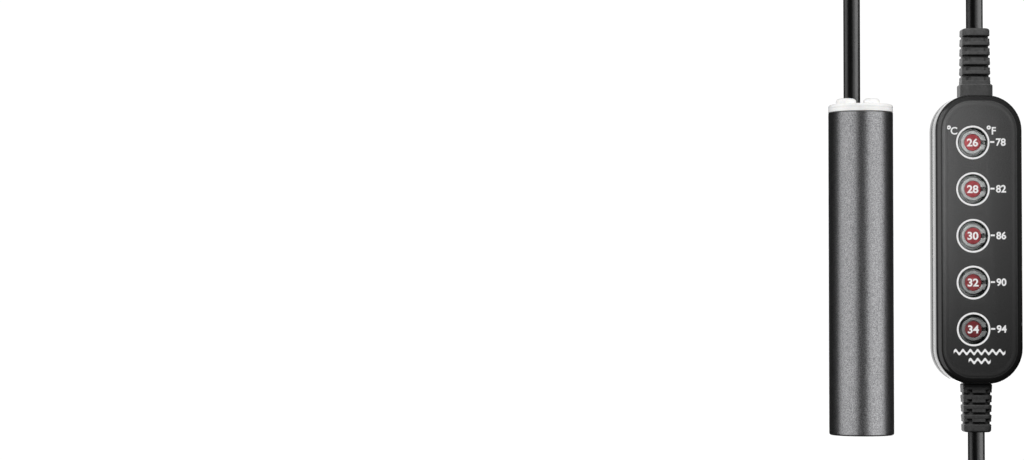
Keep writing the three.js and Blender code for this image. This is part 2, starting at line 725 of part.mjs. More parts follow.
function plugBody() {
  const { width, neck, length, shoulder, depth, edge } = PLUG;
  const outline = new THREE.Shape()
    .moveTo(-width / 2, 0)
    .lineTo(-width / 2, -shoulder)
    .lineTo(-neck / 2, -length)
    .lineTo(neck / 2, -length)
    .lineTo(width / 2, -shoulder)
    .lineTo(width / 2, 0)
    .closePath();
  let body = slab(outline, -depth / 2, depth / 2, edge, 1);
  body = body.subtract(rodZ(0, 0, CABLE_RADIUS + FIT, -length - 1, PLUG.cordDepth - length));
  for (const x of [-PLUG.pinSpacing / 2, PLUG.pinSpacing / 2]) {
    body = body.subtract(rodZ(x, 0, PLUG.pinRadius + FIT, -PLUG.pinRoot - FIT, 1, 20));
  }
  return piece("plug_body", body, BLACK_PLASTIC);
}

function plugPin(side, index) {
  const { pinRadius, pinLength, pinRoot, pinSpacing } = PLUG;
  const profile = [
    [0, -pinRoot],
    [pinRadius, -pinRoot],
    [pinRadius, pinLength - 1.4],
    [0.75 * pinRadius, pinLength - 0.5],
    [0, pinLength],
  ];
  return piece(`plug_pin_${index + 1}`, turned(profile, 20, (side * pinSpacing) / 2, 0), STEEL);
}

function plugGroup() {
  const group = new THREE.Group();
  group.position.set(PLUG.x, 0, PLUG.face);
  group.add(plugBody(), ...[-1, 1].map(plugPin));
  return group;
}

const heater = new THREE.Group();
heater.add(heaterGroup(), thermostatGroup(), plugGroup(), heaterCable(), powerCord());

export default heater;
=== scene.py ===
"""Looks of a small submersible aquarium heater: heating tube, five-key thermostat, cables and plug.

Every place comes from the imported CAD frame. Builders work in millimetres and hand over metres.
The object stands upright with its key panel towards -Y.
"""

import json
import math

import bmesh
import bpy
from mathutils import Matrix, Vector

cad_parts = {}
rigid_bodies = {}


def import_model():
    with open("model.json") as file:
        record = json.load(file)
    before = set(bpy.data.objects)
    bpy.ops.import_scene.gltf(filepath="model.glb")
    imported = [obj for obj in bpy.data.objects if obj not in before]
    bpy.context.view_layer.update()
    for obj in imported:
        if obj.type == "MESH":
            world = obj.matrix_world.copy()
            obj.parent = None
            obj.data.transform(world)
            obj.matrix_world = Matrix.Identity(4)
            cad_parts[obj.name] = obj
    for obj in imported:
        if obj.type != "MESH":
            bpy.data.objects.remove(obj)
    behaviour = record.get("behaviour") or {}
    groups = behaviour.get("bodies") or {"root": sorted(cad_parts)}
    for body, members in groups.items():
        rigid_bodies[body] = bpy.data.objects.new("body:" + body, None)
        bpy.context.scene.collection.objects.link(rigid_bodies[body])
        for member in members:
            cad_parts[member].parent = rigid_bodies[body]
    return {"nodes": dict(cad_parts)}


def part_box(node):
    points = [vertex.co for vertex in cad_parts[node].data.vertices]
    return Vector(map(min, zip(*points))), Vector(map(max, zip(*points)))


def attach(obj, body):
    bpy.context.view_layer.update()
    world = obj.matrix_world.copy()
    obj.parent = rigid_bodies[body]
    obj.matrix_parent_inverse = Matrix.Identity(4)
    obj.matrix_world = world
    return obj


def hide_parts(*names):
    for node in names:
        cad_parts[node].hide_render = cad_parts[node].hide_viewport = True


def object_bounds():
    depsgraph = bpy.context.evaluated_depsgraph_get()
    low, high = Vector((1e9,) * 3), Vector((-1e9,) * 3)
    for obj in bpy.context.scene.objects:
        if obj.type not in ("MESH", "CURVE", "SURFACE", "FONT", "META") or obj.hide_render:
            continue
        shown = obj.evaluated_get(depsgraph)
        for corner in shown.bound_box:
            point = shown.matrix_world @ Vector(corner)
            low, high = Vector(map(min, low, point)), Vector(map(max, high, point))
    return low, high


MM = 0.001
FIXED = "heater"  # the CAD body that everything rides on, apart from keys and plungers
TEMPERATURES = {26: 78, 28: 82, 30: 86, 32: 90, 34: 94}

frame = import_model()
cad_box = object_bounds()


# ---- places from the frame, in mm


def box_mm(node):
    """Lowest corner, highest corner and centre of a CAD node, in millimetres."""
    low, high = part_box(node)
    return low / MM, high / MM, (low + high) / 2 / MM


TUBE_LOW, TUBE_HIGH, _ = box_mm("heater_tube")
TUBE_RADIUS = (TUBE_HIGH.x - TUBE_LOW.x) / 2
CAP_LOW, CAP_HIGH, _ = box_mm("top_cap")
CAP_RADIUS = (CAP_HIGH.x - CAP_LOW.x) / 2
CASE_LOW, CASE_HIGH, CASE_MID = box_mm("front_cover")
CASE_REAR = box_mm("rear_cover")[1].y
CASE_FRONT = CASE_LOW.y
CASE_WIDTH = CASE_HIGH.x - CASE_LOW.x
CASE_HEIGHT = CASE_HIGH.z - CASE_LOW.z
CORD_LOW, CORD_HIGH, _ = box_mm("power_cord")
CABLE_RADIUS = (CORD_HIGH.y - CORD_LOW.y) / 2
LENS_MID = {t: box_mm(f"key_lens_{t}")[2] for t in TEMPERATURES}
LENS_LOW, LENS_HIGH, _ = box_mm("key_lens_26")
LENS_RADIUS = (LENS_HIGH.x - LENS_LOW.x) / 2
KEY_TOP = box_mm("key_26")[0].y
PLUG_LOW, PLUG_HIGH, PLUG_MID = box_mm("plug_body")
PLUG_FACE = PLUG_HIGH.z


# ---- mesh building


def add_object(name, data):
    piece = bpy.data.objects.new(name, data)
    bpy.context.scene.collection.objects.link(piece)
    return piece


def clean_mesh(mesh):
    """Merges points that lie together and turns the faces outwards."""
    build = bmesh.new()
    build.from_mesh(mesh)
    bmesh.ops.remove_doubles(build, verts=build.verts, dist=1e-7)
    bmesh.ops.recalc_face_normals(build, faces=build.faces)
    build.to_mesh(mesh)
    build.free()


def mesh_object(name, points, faces):
    """A clean mesh from millimetre points."""
    mesh = bpy.data.meshes.new(name)
    mesh.from_pydata([Vector(p) * MM for p in points], [], faces)
    clean_mesh(mesh)
    return add_object(name, mesh)


def smooth(piece, degrees=32):
    piece.data.shade_smooth()
    piece.data.set_sharp_from_angle(angle=math.radians(degrees))
    return piece


def loft(name, loops, closed=False, caps=True):
    """Skins closed loops of equal length, one after the other."""
    count = len(loops[0])
    points = [p for loop in loops for p in loop]
    faces = []
    for i in range(len(loops) if closed else len(loops) - 1):
        a = i * count
        b = (i + 1) % len(loops) * count
        for j in range(count):
            k = (j + 1) % count
            faces.append((a + j, a + k, b + k, b + j))
    if caps and not closed:
        faces.append(tuple(range(count))[::-1])
        faces.append(tuple(range((len(loops) - 1) * count, len(loops) * count)))
    return mesh_object(name, points, faces)


def turned(name, profile, centre=(0, 0), segments=96, axis="z", closed=False):
    """Turns (radius, height) pairs about an upright axis, or about one along Y through (x, z)."""
    loops = []
    for radius, height in profile:
        loop = []
        for step in range(segments):
            angle = 2 * math.pi * step / segments
            across = centre[0] + radius * math.cos(angle)
            other = centre[1] + radius * math.sin(angle)
            loop.append((across, other, height) if axis == "z" else (across, height, other))
        loops.append(loop)
    return loft(name, loops, closed=closed)


def arc(centre, radius, start, end, count):
    """Points on an arc between two angles in degrees, both ends included."""
    turn = [math.radians(start + (end - start) * i / (count - 1)) for i in range(count)]
    return [(centre[0] + radius * math.cos(a), centre[1] + radius * math.sin(a)) for a in turn]


def quarter_turn(steps):
    """Angles from 0 to 90 degrees, in radians, both ends included."""
    return [math.pi / 2 * i / steps for i in range(steps + 1)]


def rounded_end(radius, top, height):
    """(radius, height) pairs of a domed end, from its shoulder almost to its middle."""
    turns = [math.radians(degrees) for degrees in (0, 15, 30, 45, 60, 75, 85)]
    return [(radius * math.cos(t), top - height + height * math.sin(t)) for t in turns]


def rounded_outline(width, height, corner, count=14):
    """A rounded rectangle about 0, counter-clockwise."""
    x = width / 2 - corner
    z = height / 2 - corner
    quarters = [(x, z, 0), (-x, z, 90), (-x, -z, 180), (x, -z, 270)]
    return [p for cx, cz, turn in quarters for p in arc((cx, cz), corner, turn, turn + 90, count)]


def flat_mesh(name, outlines, y_front, y_back, edge=0.0, edge_steps=3):
    """A flat piece in the XZ plane, with holes where outlines nest and rounded front and back edges."""
    curve = bpy.data.curves.new(name, "CURVE")
    curve.dimensions = "2D"
    curve.fill_mode = "BOTH"
    for outline in outlines:
        spline = curve.splines.new("POLY")
        spline.points.add(len(outline) - 1)
        for point, (x, z) in zip(spline.points, outline):
            point.co = (x * MM, z * MM, 0, 1)
        spline.use_cyclic_u = True
    curve.extrude = ((y_back - y_front) / 2 - edge) * MM
    curve.bevel_depth = edge * MM
    curve.bevel_resolution = edge_steps
    curve.offset = -edge * MM
    return upright_mesh(name, curve, (y_front + y_back) / 2)


def upright_mesh(name, curve, y_mid):
    """The mesh of a flat curve or text, stood up so that it faces the front."""
    source = add_object(name + "_source", curve)
    stand_up = Matrix.Rotation(math.pi / 2, 4, "X")
    source.matrix_world = Matrix.Translation((0, y_mid * MM, 0)) @ stand_up
    graph = bpy.context.evaluated_depsgraph_get()
    mesh = bpy.data.meshes.new_from_object(source.evaluated_get(graph), depsgraph=graph)
    mesh.transform(source.matrix_world)
    mesh.name = name
    bpy.data.objects.remove(source)
    bpy.data.curves.remove(curve)
    clean_mesh(mesh)
    return add_object(name, mesh)


def combine(piece, other, operation):
    """Joins another closed piece to this one or cuts it out, and removes the other."""
    modifier = piece.modifiers.new("combine", "BOOLEAN")
    modifier.operation = operation
    modifier.solver = "EXACT"
    modifier.object = other
    graph = bpy.context.evaluated_depsgraph_get()
    made = bpy.data.meshes.new_from_object(piece.evaluated_get(graph), depsgraph=graph)
    piece.modifiers.clear()
    old = piece.data
    piece.data = made
    bpy.data.meshes.remove(old)
    bpy.data.objects.remove(other)
    return piece


def tube_along(name, path, radius, segments=32):
    """A round strand along points whose neighbours all lie in one upright plane."""
    path = [Vector(p) for p in path]
    across = path[-1] - path[0]
    across.z = 0
    side = Vector((0, 0, 1)).cross(across).normalized()
    loops = []
    for i, point in enumerate(path):
        ahead = path[min(i + 1, len(path) - 1)] - path[max(i - 1, 0)]
        out = side.cross(ahead).normalized()
        loop = []
        for step in range(segments):
            angle = 2 * math.pi * step / segments
            loop.append(point + radius * (math.cos(angle) * side + math.sin(angle) * out))
        loops.append(loop)
    return loft(name, loops)


# ---- materials


def new_node(nodes, kind, inputs=None, **settings):
    """Adds a shader node with values for its inputs and for its other settings."""
    made = nodes.new("ShaderNode" + kind)
    for key, value in (inputs or {}).items():
        made.inputs[key].default_value = value
    for key, value in settings.items():
        setattr(made, key, value)
    return made


class Surface:
    """A principled material with short ways to add procedural detail, sized in millimetres."""

    def __init__(self, name, color, roughness, metallic=0.0, **inputs):
        self.material = bpy.data.materials.new(name)
        self.material.use_nodes = True
        self.nodes = self.material.node_tree.nodes
        self.links = self.material.node_tree.links
        self.shader = self.nodes["Principled BSDF"]
        self.set("Base Color", (*color, 1.0))
        self.set("Roughness", roughness)
        self.set("Metallic", metallic)
        for key, value in inputs.items():
            self.set(key.replace("_", " "), value)
        self.last_normal = None

    def set(self, socket, value):
        """Gives a socket of the shader a fixed value."""
        self.shader.inputs[socket].default_value = value

    def node(self, *choices, **settings):
        return new_node(self.nodes, *choices, **settings)

    def place(self):
        """The position in the frame, in millimetres."""
        coordinates = self.node("TexCoord")
        scale = self.node("VectorMath", operation="SCALE")
        scale.inputs["Scale"].default_value = 1 / MM
        self.links.new(coordinates.outputs["Object"], scale.inputs[0])
        return scale.outputs[0]

    def noise(self, size, detail=3.0, stretch=(1, 1, 1)):
        """Noise whose grains are about `size` millimetres across."""
        mapping = self.node("Mapping", {"Scale": [s / size for s in stretch]})
        noise = self.node("TexNoise", {"Scale": 1.0, "Detail": detail})
        self.links.new(self.place(), mapping.inputs["Vector"])
        self.links.new(mapping.outputs[0], noise.inputs["Vector"])
        return noise.outputs["Fac"]

    def ramp(self, value, low, high, to_low, to_high):
        """Maps a value from one range to another, clamped."""
        ranges = {"From Min": low, "From Max": high, "To Min": to_low, "To Max": to_high}
        made = self.node("MapRange", ranges)
        self.links.new(value, made.inputs["Value"])
        return made.outputs[0]

    def axis_value(self, axis):
        """One coordinate of the position in the frame: 0, 1 or 2 for x, y or z."""
        split = self.node("SeparateXYZ")
        self.links.new(self.place(), split.inputs[0])
        return split.outputs[axis]

    def calculate(self, operation, a, b):
        """The product, maximum or the like of two sockets."""
        made = self.node("Math", operation=operation)
        self.links.new(a, made.inputs[0])
        self.links.new(b, made.inputs[1])
        return made.outputs[0]

    def mix_color(self, factor, a, b):
        """Mixes two colours, each a tuple or a socket."""
        made = self.node("Mix", data_type="RGBA")
        self.links.new(factor, made.inputs["Factor"])
        for socket, value in ((made.inputs[6], a), (made.inputs[7], b)):
            if isinstance(value, tuple):
                socket.default_value = (*value, 1.0)
            else:
                self.links.new(value, socket)
        return made.outputs[2]

    def tint(self, factor, dark, light):
        """Varies the base colour between two colours."""
        self.drive("Base Color", self.mix_color(factor, dark, light))

    def mottle(self, size, dark, light, low=0.3, high=0.7):
        """Varies the base colour with noise; only noise between low and high makes a difference."""
        self.tint(self.ramp(self.noise(size), low, high, 0, 1), dark, light)

    def drive(self, socket, value):
        """Lets a value set one of the shader's sockets."""
        self.links.new(value, self.shader.inputs[socket])

    def bump(self, height, depth_mm, strength=1.0):
        """Adds relief of about depth_mm; later calls lie on top of earlier ones."""
        made = self.node("Bump", {"Strength": strength, "Distance": depth_mm * MM})
        self.links.new(height, made.inputs["Height"])
        if self.last_normal:
            self.links.new(self.last_normal, made.inputs["Normal"])
        self.last_normal = made.outputs[0]
        self.drive("Normal", self.last_normal)


def grey(value):
    return (value, value, value)


def sandblasted_metal():
    """Dark anodised metal with a fine, sparkling sand grain."""
    made = Surface("sandblasted_metal", grey(0.1), 0.33, metallic=1.0)
    grain = made.noise(0.3, detail=2.0)
    made.tint(made.ramp(grain, 0.36, 0.64, 0, 1), (0.062, 0.062, 0.064), (0.14, 0.14, 0.143))
    made.drive("Roughness", made.ramp(made.noise(0.7), 0.35, 0.65, 0.3, 0.38))
    made.bump(grain, 0.03, 0.5)
    return made.material


def case_plastic():
    """Black plastic: the panel is grained, the line round it is satin and painted a lighter grey as a
    painted highlight, the sides and back are glossy.
    """
    made = Surface("case_plastic", grey(0.03), 0.3)
    depth = made.axis_value(1)
    below_bead = made.ramp(depth, CASE_FRONT - 0.045, CASE_FRONT - 0.03, 0, 1)
    above_edge = made.ramp(depth, CASE_FRONT + 0.03, CASE_FRONT + 0.05, 1, 0)
    panel = made.calculate("MULTIPLY", below_bead, above_edge)
    grain = made.noise(0.28, detail=2.5)
    textured = made.mix_color(made.ramp(grain, 0.38, 0.62, 0, 1), grey(0.03), grey(0.052))
    # The raised bead is painted a lighter grey than the smooth plastic: a painted highlight along the line
    # round the panel.
    bead = made.ramp(depth, CASE_FRONT - 0.05, CASE_FRONT - 0.02, 1, 0)
    smooth_with_bead_highlight = made.mix_color(bead, grey(0.018), grey(0.048))
    made.tint(panel, smooth_with_bead_highlight, textured)
    panel_roughness = made.ramp(panel, 0, 1, 0.12, 0.55)
    bead_roughness = made.ramp(bead, 0, 1, 0.12, 0.45)
    made.drive("Roughness", made.calculate("MAXIMUM", panel_roughness, bead_roughness))
    made.bump(made.calculate("MULTIPLY", grain, panel), 0.03, 0.5)
    made.bump(made.noise(7.0, detail=1.0), 0.006, 0.3)
    return made.material


def cable_sheath():
    """Smooth black sheath with a slight waviness along its length."""
    made = Surface("cable_sheath", grey(0.01), 0.3)
    made.drive("Roughness", made.ramp(made.noise(1.2), 0.3, 0.7, 0.27, 0.33))
    made.bump(made.noise(5.0, detail=1.0), 0.008, 0.2)
    return made.material


def relief_rubber():
    """Satin moulded rubber."""
    made = Surface("relief_rubber", grey(0.04), 0.5)
    made.mottle(0.6, grey(0.032), grey(0.048))
    made.bump(made.noise(0.3), 0.015, 0.4)
    return made.material


def white_plastic():
    made = Surface("white_plastic", (0.86, 0.86, 0.85), 0.32, Subsurface_Weight=0.15)
    made.set("Subsurface Radius", (0.0012, 0.0010, 0.0008))
    made.mottle(4.0, (0.82, 0.82, 0.81), (0.9, 0.9, 0.89))
    made.bump(made.noise(0.8), 0.01, 0.3)
    return made.material


def key_plastic():
    """Smoke-grey translucent plastic."""
    made = Surface("key_plastic", (0.24, 0.25, 0.245), 0.35, Subsurface_Weight=0.2)
    made.set("Subsurface Radius", (0.0005, 0.0005, 0.0005))
    made.mottle(1.5, (0.23, 0.237, 0.235), (0.31, 0.32, 0.315))
    made.bump(made.noise(0.35), 0.01, 0.4)
    return made.material


def lens_plastic():
    """Translucent red plastic, slightly cloudy."""
    made = Surface("lens_plastic", (0.22, 0.045, 0.05), 0.3, Subsurface_Weight=0.2)
    made.set("Subsurface Radius", (0.0006, 0.0002, 0.0002))
    made.mottle(1.8, (0.18, 0.03, 0.036), (0.27, 0.055, 0.06), 0.35, 0.65)
    made.bump(made.noise(0.5), 0.006, 0.3)
    return made.material


def print_white():
    """Screen-printed white ink with a faintly uneven coat."""
    made = Surface("print_white", grey(0.9), 0.4)
    made.mottle(0.3, grey(0.76), grey(0.86))
    made.bump(made.noise(0.15), 0.004, 0.3)
    return made.material


def plain_detail(name, dark, light, roughness, metallic=0.0, grain=0.5, depth=0.01):
    """A simple part's material, whose colour and roughness vary with a grain of the given size."""
    made = Surface(name, light, roughness, metallic)
    made.mottle(grain, dark, light)
    smoothest, roughest = 0.85 * roughness, 1.15 * roughness
    made.drive("Roughness", made.ramp(made.noise(2.3 * grain), 0.3, 0.7, smoothest, roughest))
    made.bump(made.noise(grain), depth, 0.4)
    return made.material


PIN_SEAM_BLUR = 0.15  # mm over which a pin's sleeve gives way to bare metal


def pin_metal():
    """Nickel-plated pins whose lower halves wear black sleeves."""
    made = Surface("pin_metal", (0.66, 0.65, 0.62), 0.25, metallic=1.0)
    low, high, _ = box_mm("plug_pin_1")
    seam = (PLUG_FACE + high.z) / 2
    sleeve = made.ramp(made.axis_value(2), seam, seam + PIN_SEAM_BLUR, 1, 0)
    drawn = made.noise(0.4, stretch=(3, 3, 0.3))
    metal = made.mix_color(made.ramp(drawn, 0.3, 0.7, 0, 1), (0.58, 0.57, 0.54), (0.74, 0.73, 0.70))
    made.tint(sleeve, metal, (0.02, 0.02, 0.021))
    made.drive("Metallic", made.ramp(sleeve, 0, 1, 1, 0))
    made.drive("Roughness", made.ramp(sleeve, 0, 1, 0.24, 0.42))
    made.bump(drawn, 0.004, 0.4)
    return made.material


def board_material():
    """Green solder mask with faint copper tracks under it."""
    made = Surface("board_material", (0.02, 0.16, 0.06), 0.35)
    wave = made.node("TexWave", {"Scale": 0.35, "Distortion": 3.0}, bands_direction="X")
    made.links.new(made.place(), wave.inputs["Vector"])
    tracks = made.ramp(wave.outputs["Fac"], 0.55, 0.65, 0, 1)
    made.tint(tracks, (0.012, 0.11, 0.04), (0.03, 0.2, 0.075))
    made.bump(tracks, 0.02, 0.5)
    return made.material


def make_materials():
    return {
        "anodised": sandblasted_metal(),
        "case": case_plastic(),
        "cable": cable_sheath(),
        "rubber": relief_rubber(),
        "white": white_plastic(),
        "key": key_plastic(),
        "lens": lens_plastic(),
        "print": print_white(),
        "pins": pin_metal(),
        "board": board_material(),
        "plug": plain_detail("plug_plastic", grey(0.016), grey(0.026), 0.38, grain=0.3),
        "steel": plain_detail("zinc_steel", grey(0.42), grey(0.6), 0.32, metallic=1.0, grain=0.3),
        "ceramic": plain_detail("ceramic", (0.7, 0.66, 0.58), (0.84, 0.8, 0.72), 0.75, depth=0.04),
        "mica": plain_detail("mica", (0.36, 0.27, 0.16), (0.58, 0.47, 0.31), 0.45, grain=1.5, depth=0.02),
        "alloy": plain_detail("resistance_wire", (0.3, 0.26, 0.22), (0.5, 0.46, 0.42), 0.4, metallic=1.0),
        "resin": plain_detail("potting_resin", grey(0.02), grey(0.045), 0.3, grain=2.0),
        "lead": plain_detail("lead_insulation", (0.32, 0.02, 0.02), (0.5, 0.05, 0.04), 0.45),
        "chip": plain_detail("component_black", grey(0.014), grey(0.024), 0.55, grain=0.25),
        "led": plain_detail("led_epoxy", (0.8, 0.76, 0.68), (0.92, 0.89, 0.83), 0.15, grain=1.0),
    }


MATERIALS = make_materials()


def dress(piece, material, body=FIXED):
    """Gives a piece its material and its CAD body."""
    piece.data.materials.clear()
    piece.data.materials.append(MATERIALS[material])
    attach(piece, body)
    return piece


def stand_in(piece, node, material, body=FIXED, sharp_from=32):
    """Smooths and dresses a piece, and puts it in a CAD node's place."""
    dress(smooth(piece, sharp_from), material, body)
    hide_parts(node)


# ---- heating tube and cap

TUBE_WALL = 1.0
TUBE_FLOOR = 1.5
TUBE_EDGE = 0.7  # the rounding of the foot's rim
TUBE_LIP = 0.2
MIDDLE = 0.5  # radius of the small flat that closes a turned shape on its axis

CAP_FLANGE = 2.5  # the flange's upper face above the tube; the domes stand higher
CAP_SEAM = 0.1  # between tube and cap
CAP_RIM = 0.75
SPIGOT_INSET = 1.25
DOME_ROOF = 1.2  # plastic above a sensor
# The sensors under the domes, and how much wider than its sensor each dome is all round.
DOMES = {"dome_a": ("water_sensor", 1.95), "dome_b": ("cutout_sensor", 1.35)}


def build_tube():
    low, high = TUBE_LOW.z, TUBE_HIGH.z
    radius = TUBE_RADIUS
    inner, floor = radius - TUBE_WALL, low + TUBE_FLOOR
    foot = arc((radius - TUBE_EDGE, low + TUBE_EDGE), TUBE_EDGE, -90, 0, 7)
    lip = arc((radius - TUBE_LIP, high - TUBE_LIP), TUBE_LIP, 0, 90, 4)
    inside = [(inner, high), (inner, floor + 0.5), (inner - 0.5, floor)]
    profile = [(MIDDLE, low), *foot, (radius, (low + high) / 2), *lip, *inside, (MIDDLE, floor)]
    stand_in(turned("tube_shell", profile, segments=160), "heater_tube", "anodised")


def dome(name, centre, radius, base, top):
    """A moulded dome with a softly rounded shoulder and an almost flat top, rooted below its base."""
    shoulder = 0.62 * (top - base)
    flat = 0.505 * radius
    curve = [
        (flat + (radius - flat) * math.cos(t), top - shoulder + shoulder * math.sin(t))
        for t in quarter_turn(10)
    ]
    profile = [(radius, base - 0.5), *curve, (0.25 * radius, top + 0.02)]
    return turned(name, profile, centre=centre, segments=56)


def build_cap():
    top = TUBE_HIGH.z + CAP_FLANGE
    base = TUBE_HIGH.z + CAP_SEAM
    foot = CAP_LOW.z
    radius = CAP_RADIUS
    spigot = TUBE_RADIUS - SPIGOT_INSET
    profile = [(MIDDLE, foot), (spigot, foot), (spigot, base), (radius - 0.15, base), (radius, base + 0.15)]
    # A fine groove runs round the flange below its rounded rim.
    profile += [(radius, top - 1.35), (radius - 0.08, top - 1.25), (radius - 0.02, top - 1.1)]
    profile += [*arc((radius - CAP_RIM, top - CAP_RIM), CAP_RIM, 0, 90, 8), (MIDDLE, top)]
    cap = turned("cap_moulding", profile, segments=128)
    for name, (sensor, extra) in DOMES.items():
        low, high, middle = box_mm(sensor)
        reach = (high.x - low.x) / 2 + extra
        combine(cap, dome(name, (middle.x, middle.y), reach, top, high.z + DOME_ROOF), "UNION")
    bore = CABLE_RADIUS + 0.12
    combine(cap, turned("hole", [(bore, foot - 1), (bore, top + 3)], cable_start(), 64), "DIFFERENCE")
    stand_in(cap, "top_cap", "white", sharp_from=30)


# ---- cables


def cable_start():
    """Centre of the heater cable where it leaves the cap."""
    cable = [v.co / MM for v in frame["nodes"]["heater_cable"].data.vertices]
    lowest = min(p.z for p in cable)
    ring = [p for p in cable if p.z < lowest + 0.01 and p.x < TUBE_RADIUS]
    xs = [p.x for p in ring]
    ys = [p.y for p in ring]
    return (min(xs) + max(xs)) / 2, (min(ys) + max(ys)) / 2


def cable_loop(start, end, turn_z, step=1.2):
    """Centre line: straight from start to turn_z, half a turn in an upright plane, straight to end."""
    start, end = Vector(start), Vector(end)
    half = (end - start) / 2
    half.z = 0
    radius = half.length
    side = 1 if turn_z > start.z else -1
    middle = start + half
    first = max(2, int(abs(turn_z - start.z) / 6))
    last = max(2, int(abs(turn_z - end.z) / 6))
    bends = int(math.pi * radius / step)
    points = [Vector((start.x, start.y, start.z + (turn_z - start.z) * i / first)) for i in range(first)]
    for i in range(bends + 1):
        angle = math.pi * i / bends
        point = middle - half * math.cos(angle)
        points.append(Vector((point.x, point.y, turn_z + side * radius * math.sin(angle))))
    for i in range(1, last + 1):
        points.append(Vector((end.x, end.y, turn_z + (end.z - turn_z) * i / last)))
    return points


CABLE_END_IN_CASE = 4.6
CORD_END_IN_PLUG = 10.9


def build_cables():
    low, high, _ = box_mm("heater_cable")
    x, y = cable_start()
    reach = (CASE_MID.x - x) / 2
    half = math.hypot(reach, y / 2)
    case_end = (CASE_MID.x, 0, CASE_HIGH.z - CABLE_END_IN_CASE)
    path = cable_loop((x, y, low.z), case_end, high.z - CABLE_RADIUS - half)
    cable = tube_along("heater_cable_sheath", path, CABLE_RADIUS)
    stand_in(cable, "heater_cable", "cable", sharp_from=60)

    case_end = (CASE_MID.x, 0, CASE_LOW.z + CABLE_END_IN_CASE)
    plug_end = (PLUG_MID.x, 0, PLUG_LOW.z + CORD_END_IN_PLUG)
    half = (PLUG_MID.x - CASE_MID.x) / 2
    path = cable_loop(case_end, plug_end, CORD_LOW.z + CABLE_RADIUS + half)
    cord = tube_along("power_cord_sheath", path, CABLE_RADIUS)
    stand_in(cord, "power_cord", "cable", sharp_from=60)


# ---- strain reliefs

RELIEF_PITCH = 3.01
RELIEF_DEPTH_SHARE = 0.9  # the mouldings are a little flatter than they are wide
RELIEF_CORNER = 2.2
RELIEF_NECK = 8.2  # the round neck that the case's end wall holds
SLOT = 0.72
SLOT_DEPTH = 5.7  # front to back across the floor of a slot
POCKET_HEIGHT = 1.1
POCKET_X = (2.1, 3.5)  # the pockets beside a slot, from the middle outwards
# Heights of the first slot and widths at the case and at the far end; a collar of 0 means none.
UPPER_RELIEF = {"first": 6.2, "slots": 5, "base": 9.1, "end": 8.6, "collar": 10.2}
LOWER_RELIEF = {"first": 3.15, "slots": 4, "base": 9.15, "end": 8.55, "collar": 0}
COLLAR_HEIGHT = 3.6


def relief_angles():
    """Even angles, doubled up at the edges of the pockets so that these stay crisp."""
    angles = [2 * math.pi * i / 80 for i in range(80)]
    front = RELIEF_DEPTH_SHARE * UPPER_RELIEF["base"] / 2
    for x in POCKET_X:
        for turn in (math.atan2(y, side * x) for side in (-1, 1) for y in (-front, front)):
            angles += [(turn - 0.012) % (2 * math.pi), (turn + 0.012) % (2 * math.pi)]
    return sorted(angles)


RELIEF_ANGLES = relief_angles()


def squircle(width, depth, corner):
    """Radii of a rounded rectangle at the reliefs' angles."""
    radii = []
    for turn in RELIEF_ANGLES:
        cos, sin = abs(math.cos(turn)), abs(math.sin(turn))
        flat_x = width / 2 - corner
        flat_y = depth / 2 - corner
        reach = min(width / 2 / max(cos, 1e-6), depth / 2 / max(sin, 1e-6))
        if reach * cos > flat_x and reach * sin > flat_y:
            along = flat_x * cos + flat_y * sin
            gap = flat_x**2 + flat_y**2 - corner**2
            reach = along + math.sqrt(max(along**2 - gap, 0))
        radii.append(reach)
    return radii


def relief_loop(height, radii, side, base_z):
    """A loop round the relief's axis; heights run outwards from the end of the case."""
    z = base_z + side * height
    return [(CASE_MID.x + r * math.cos(a), r * math.sin(a), z) for a, r in zip(RELIEF_ANGLES, radii)]


def slot_floor(width):
    """The bottom of a slot: deep in front and behind, almost as wide as the moulding at the sides."""
    return squircle(width - 0.5, SLOT_DEPTH, RELIEF_CORNER)


def pocket(outer, inner):
    """The moulding's outline with the four corner pockets sunk to the slot's floor."""
    radii = []
    for turn, full, deep in zip(RELIEF_ANGLES, outer, inner):
        x = abs(full * math.cos(turn))
        in_pocket = POCKET_X[0] < x < POCKET_X[1] and abs(math.sin(turn)) > 0.6
        radii.append(deep if in_pocket else full)
    return radii


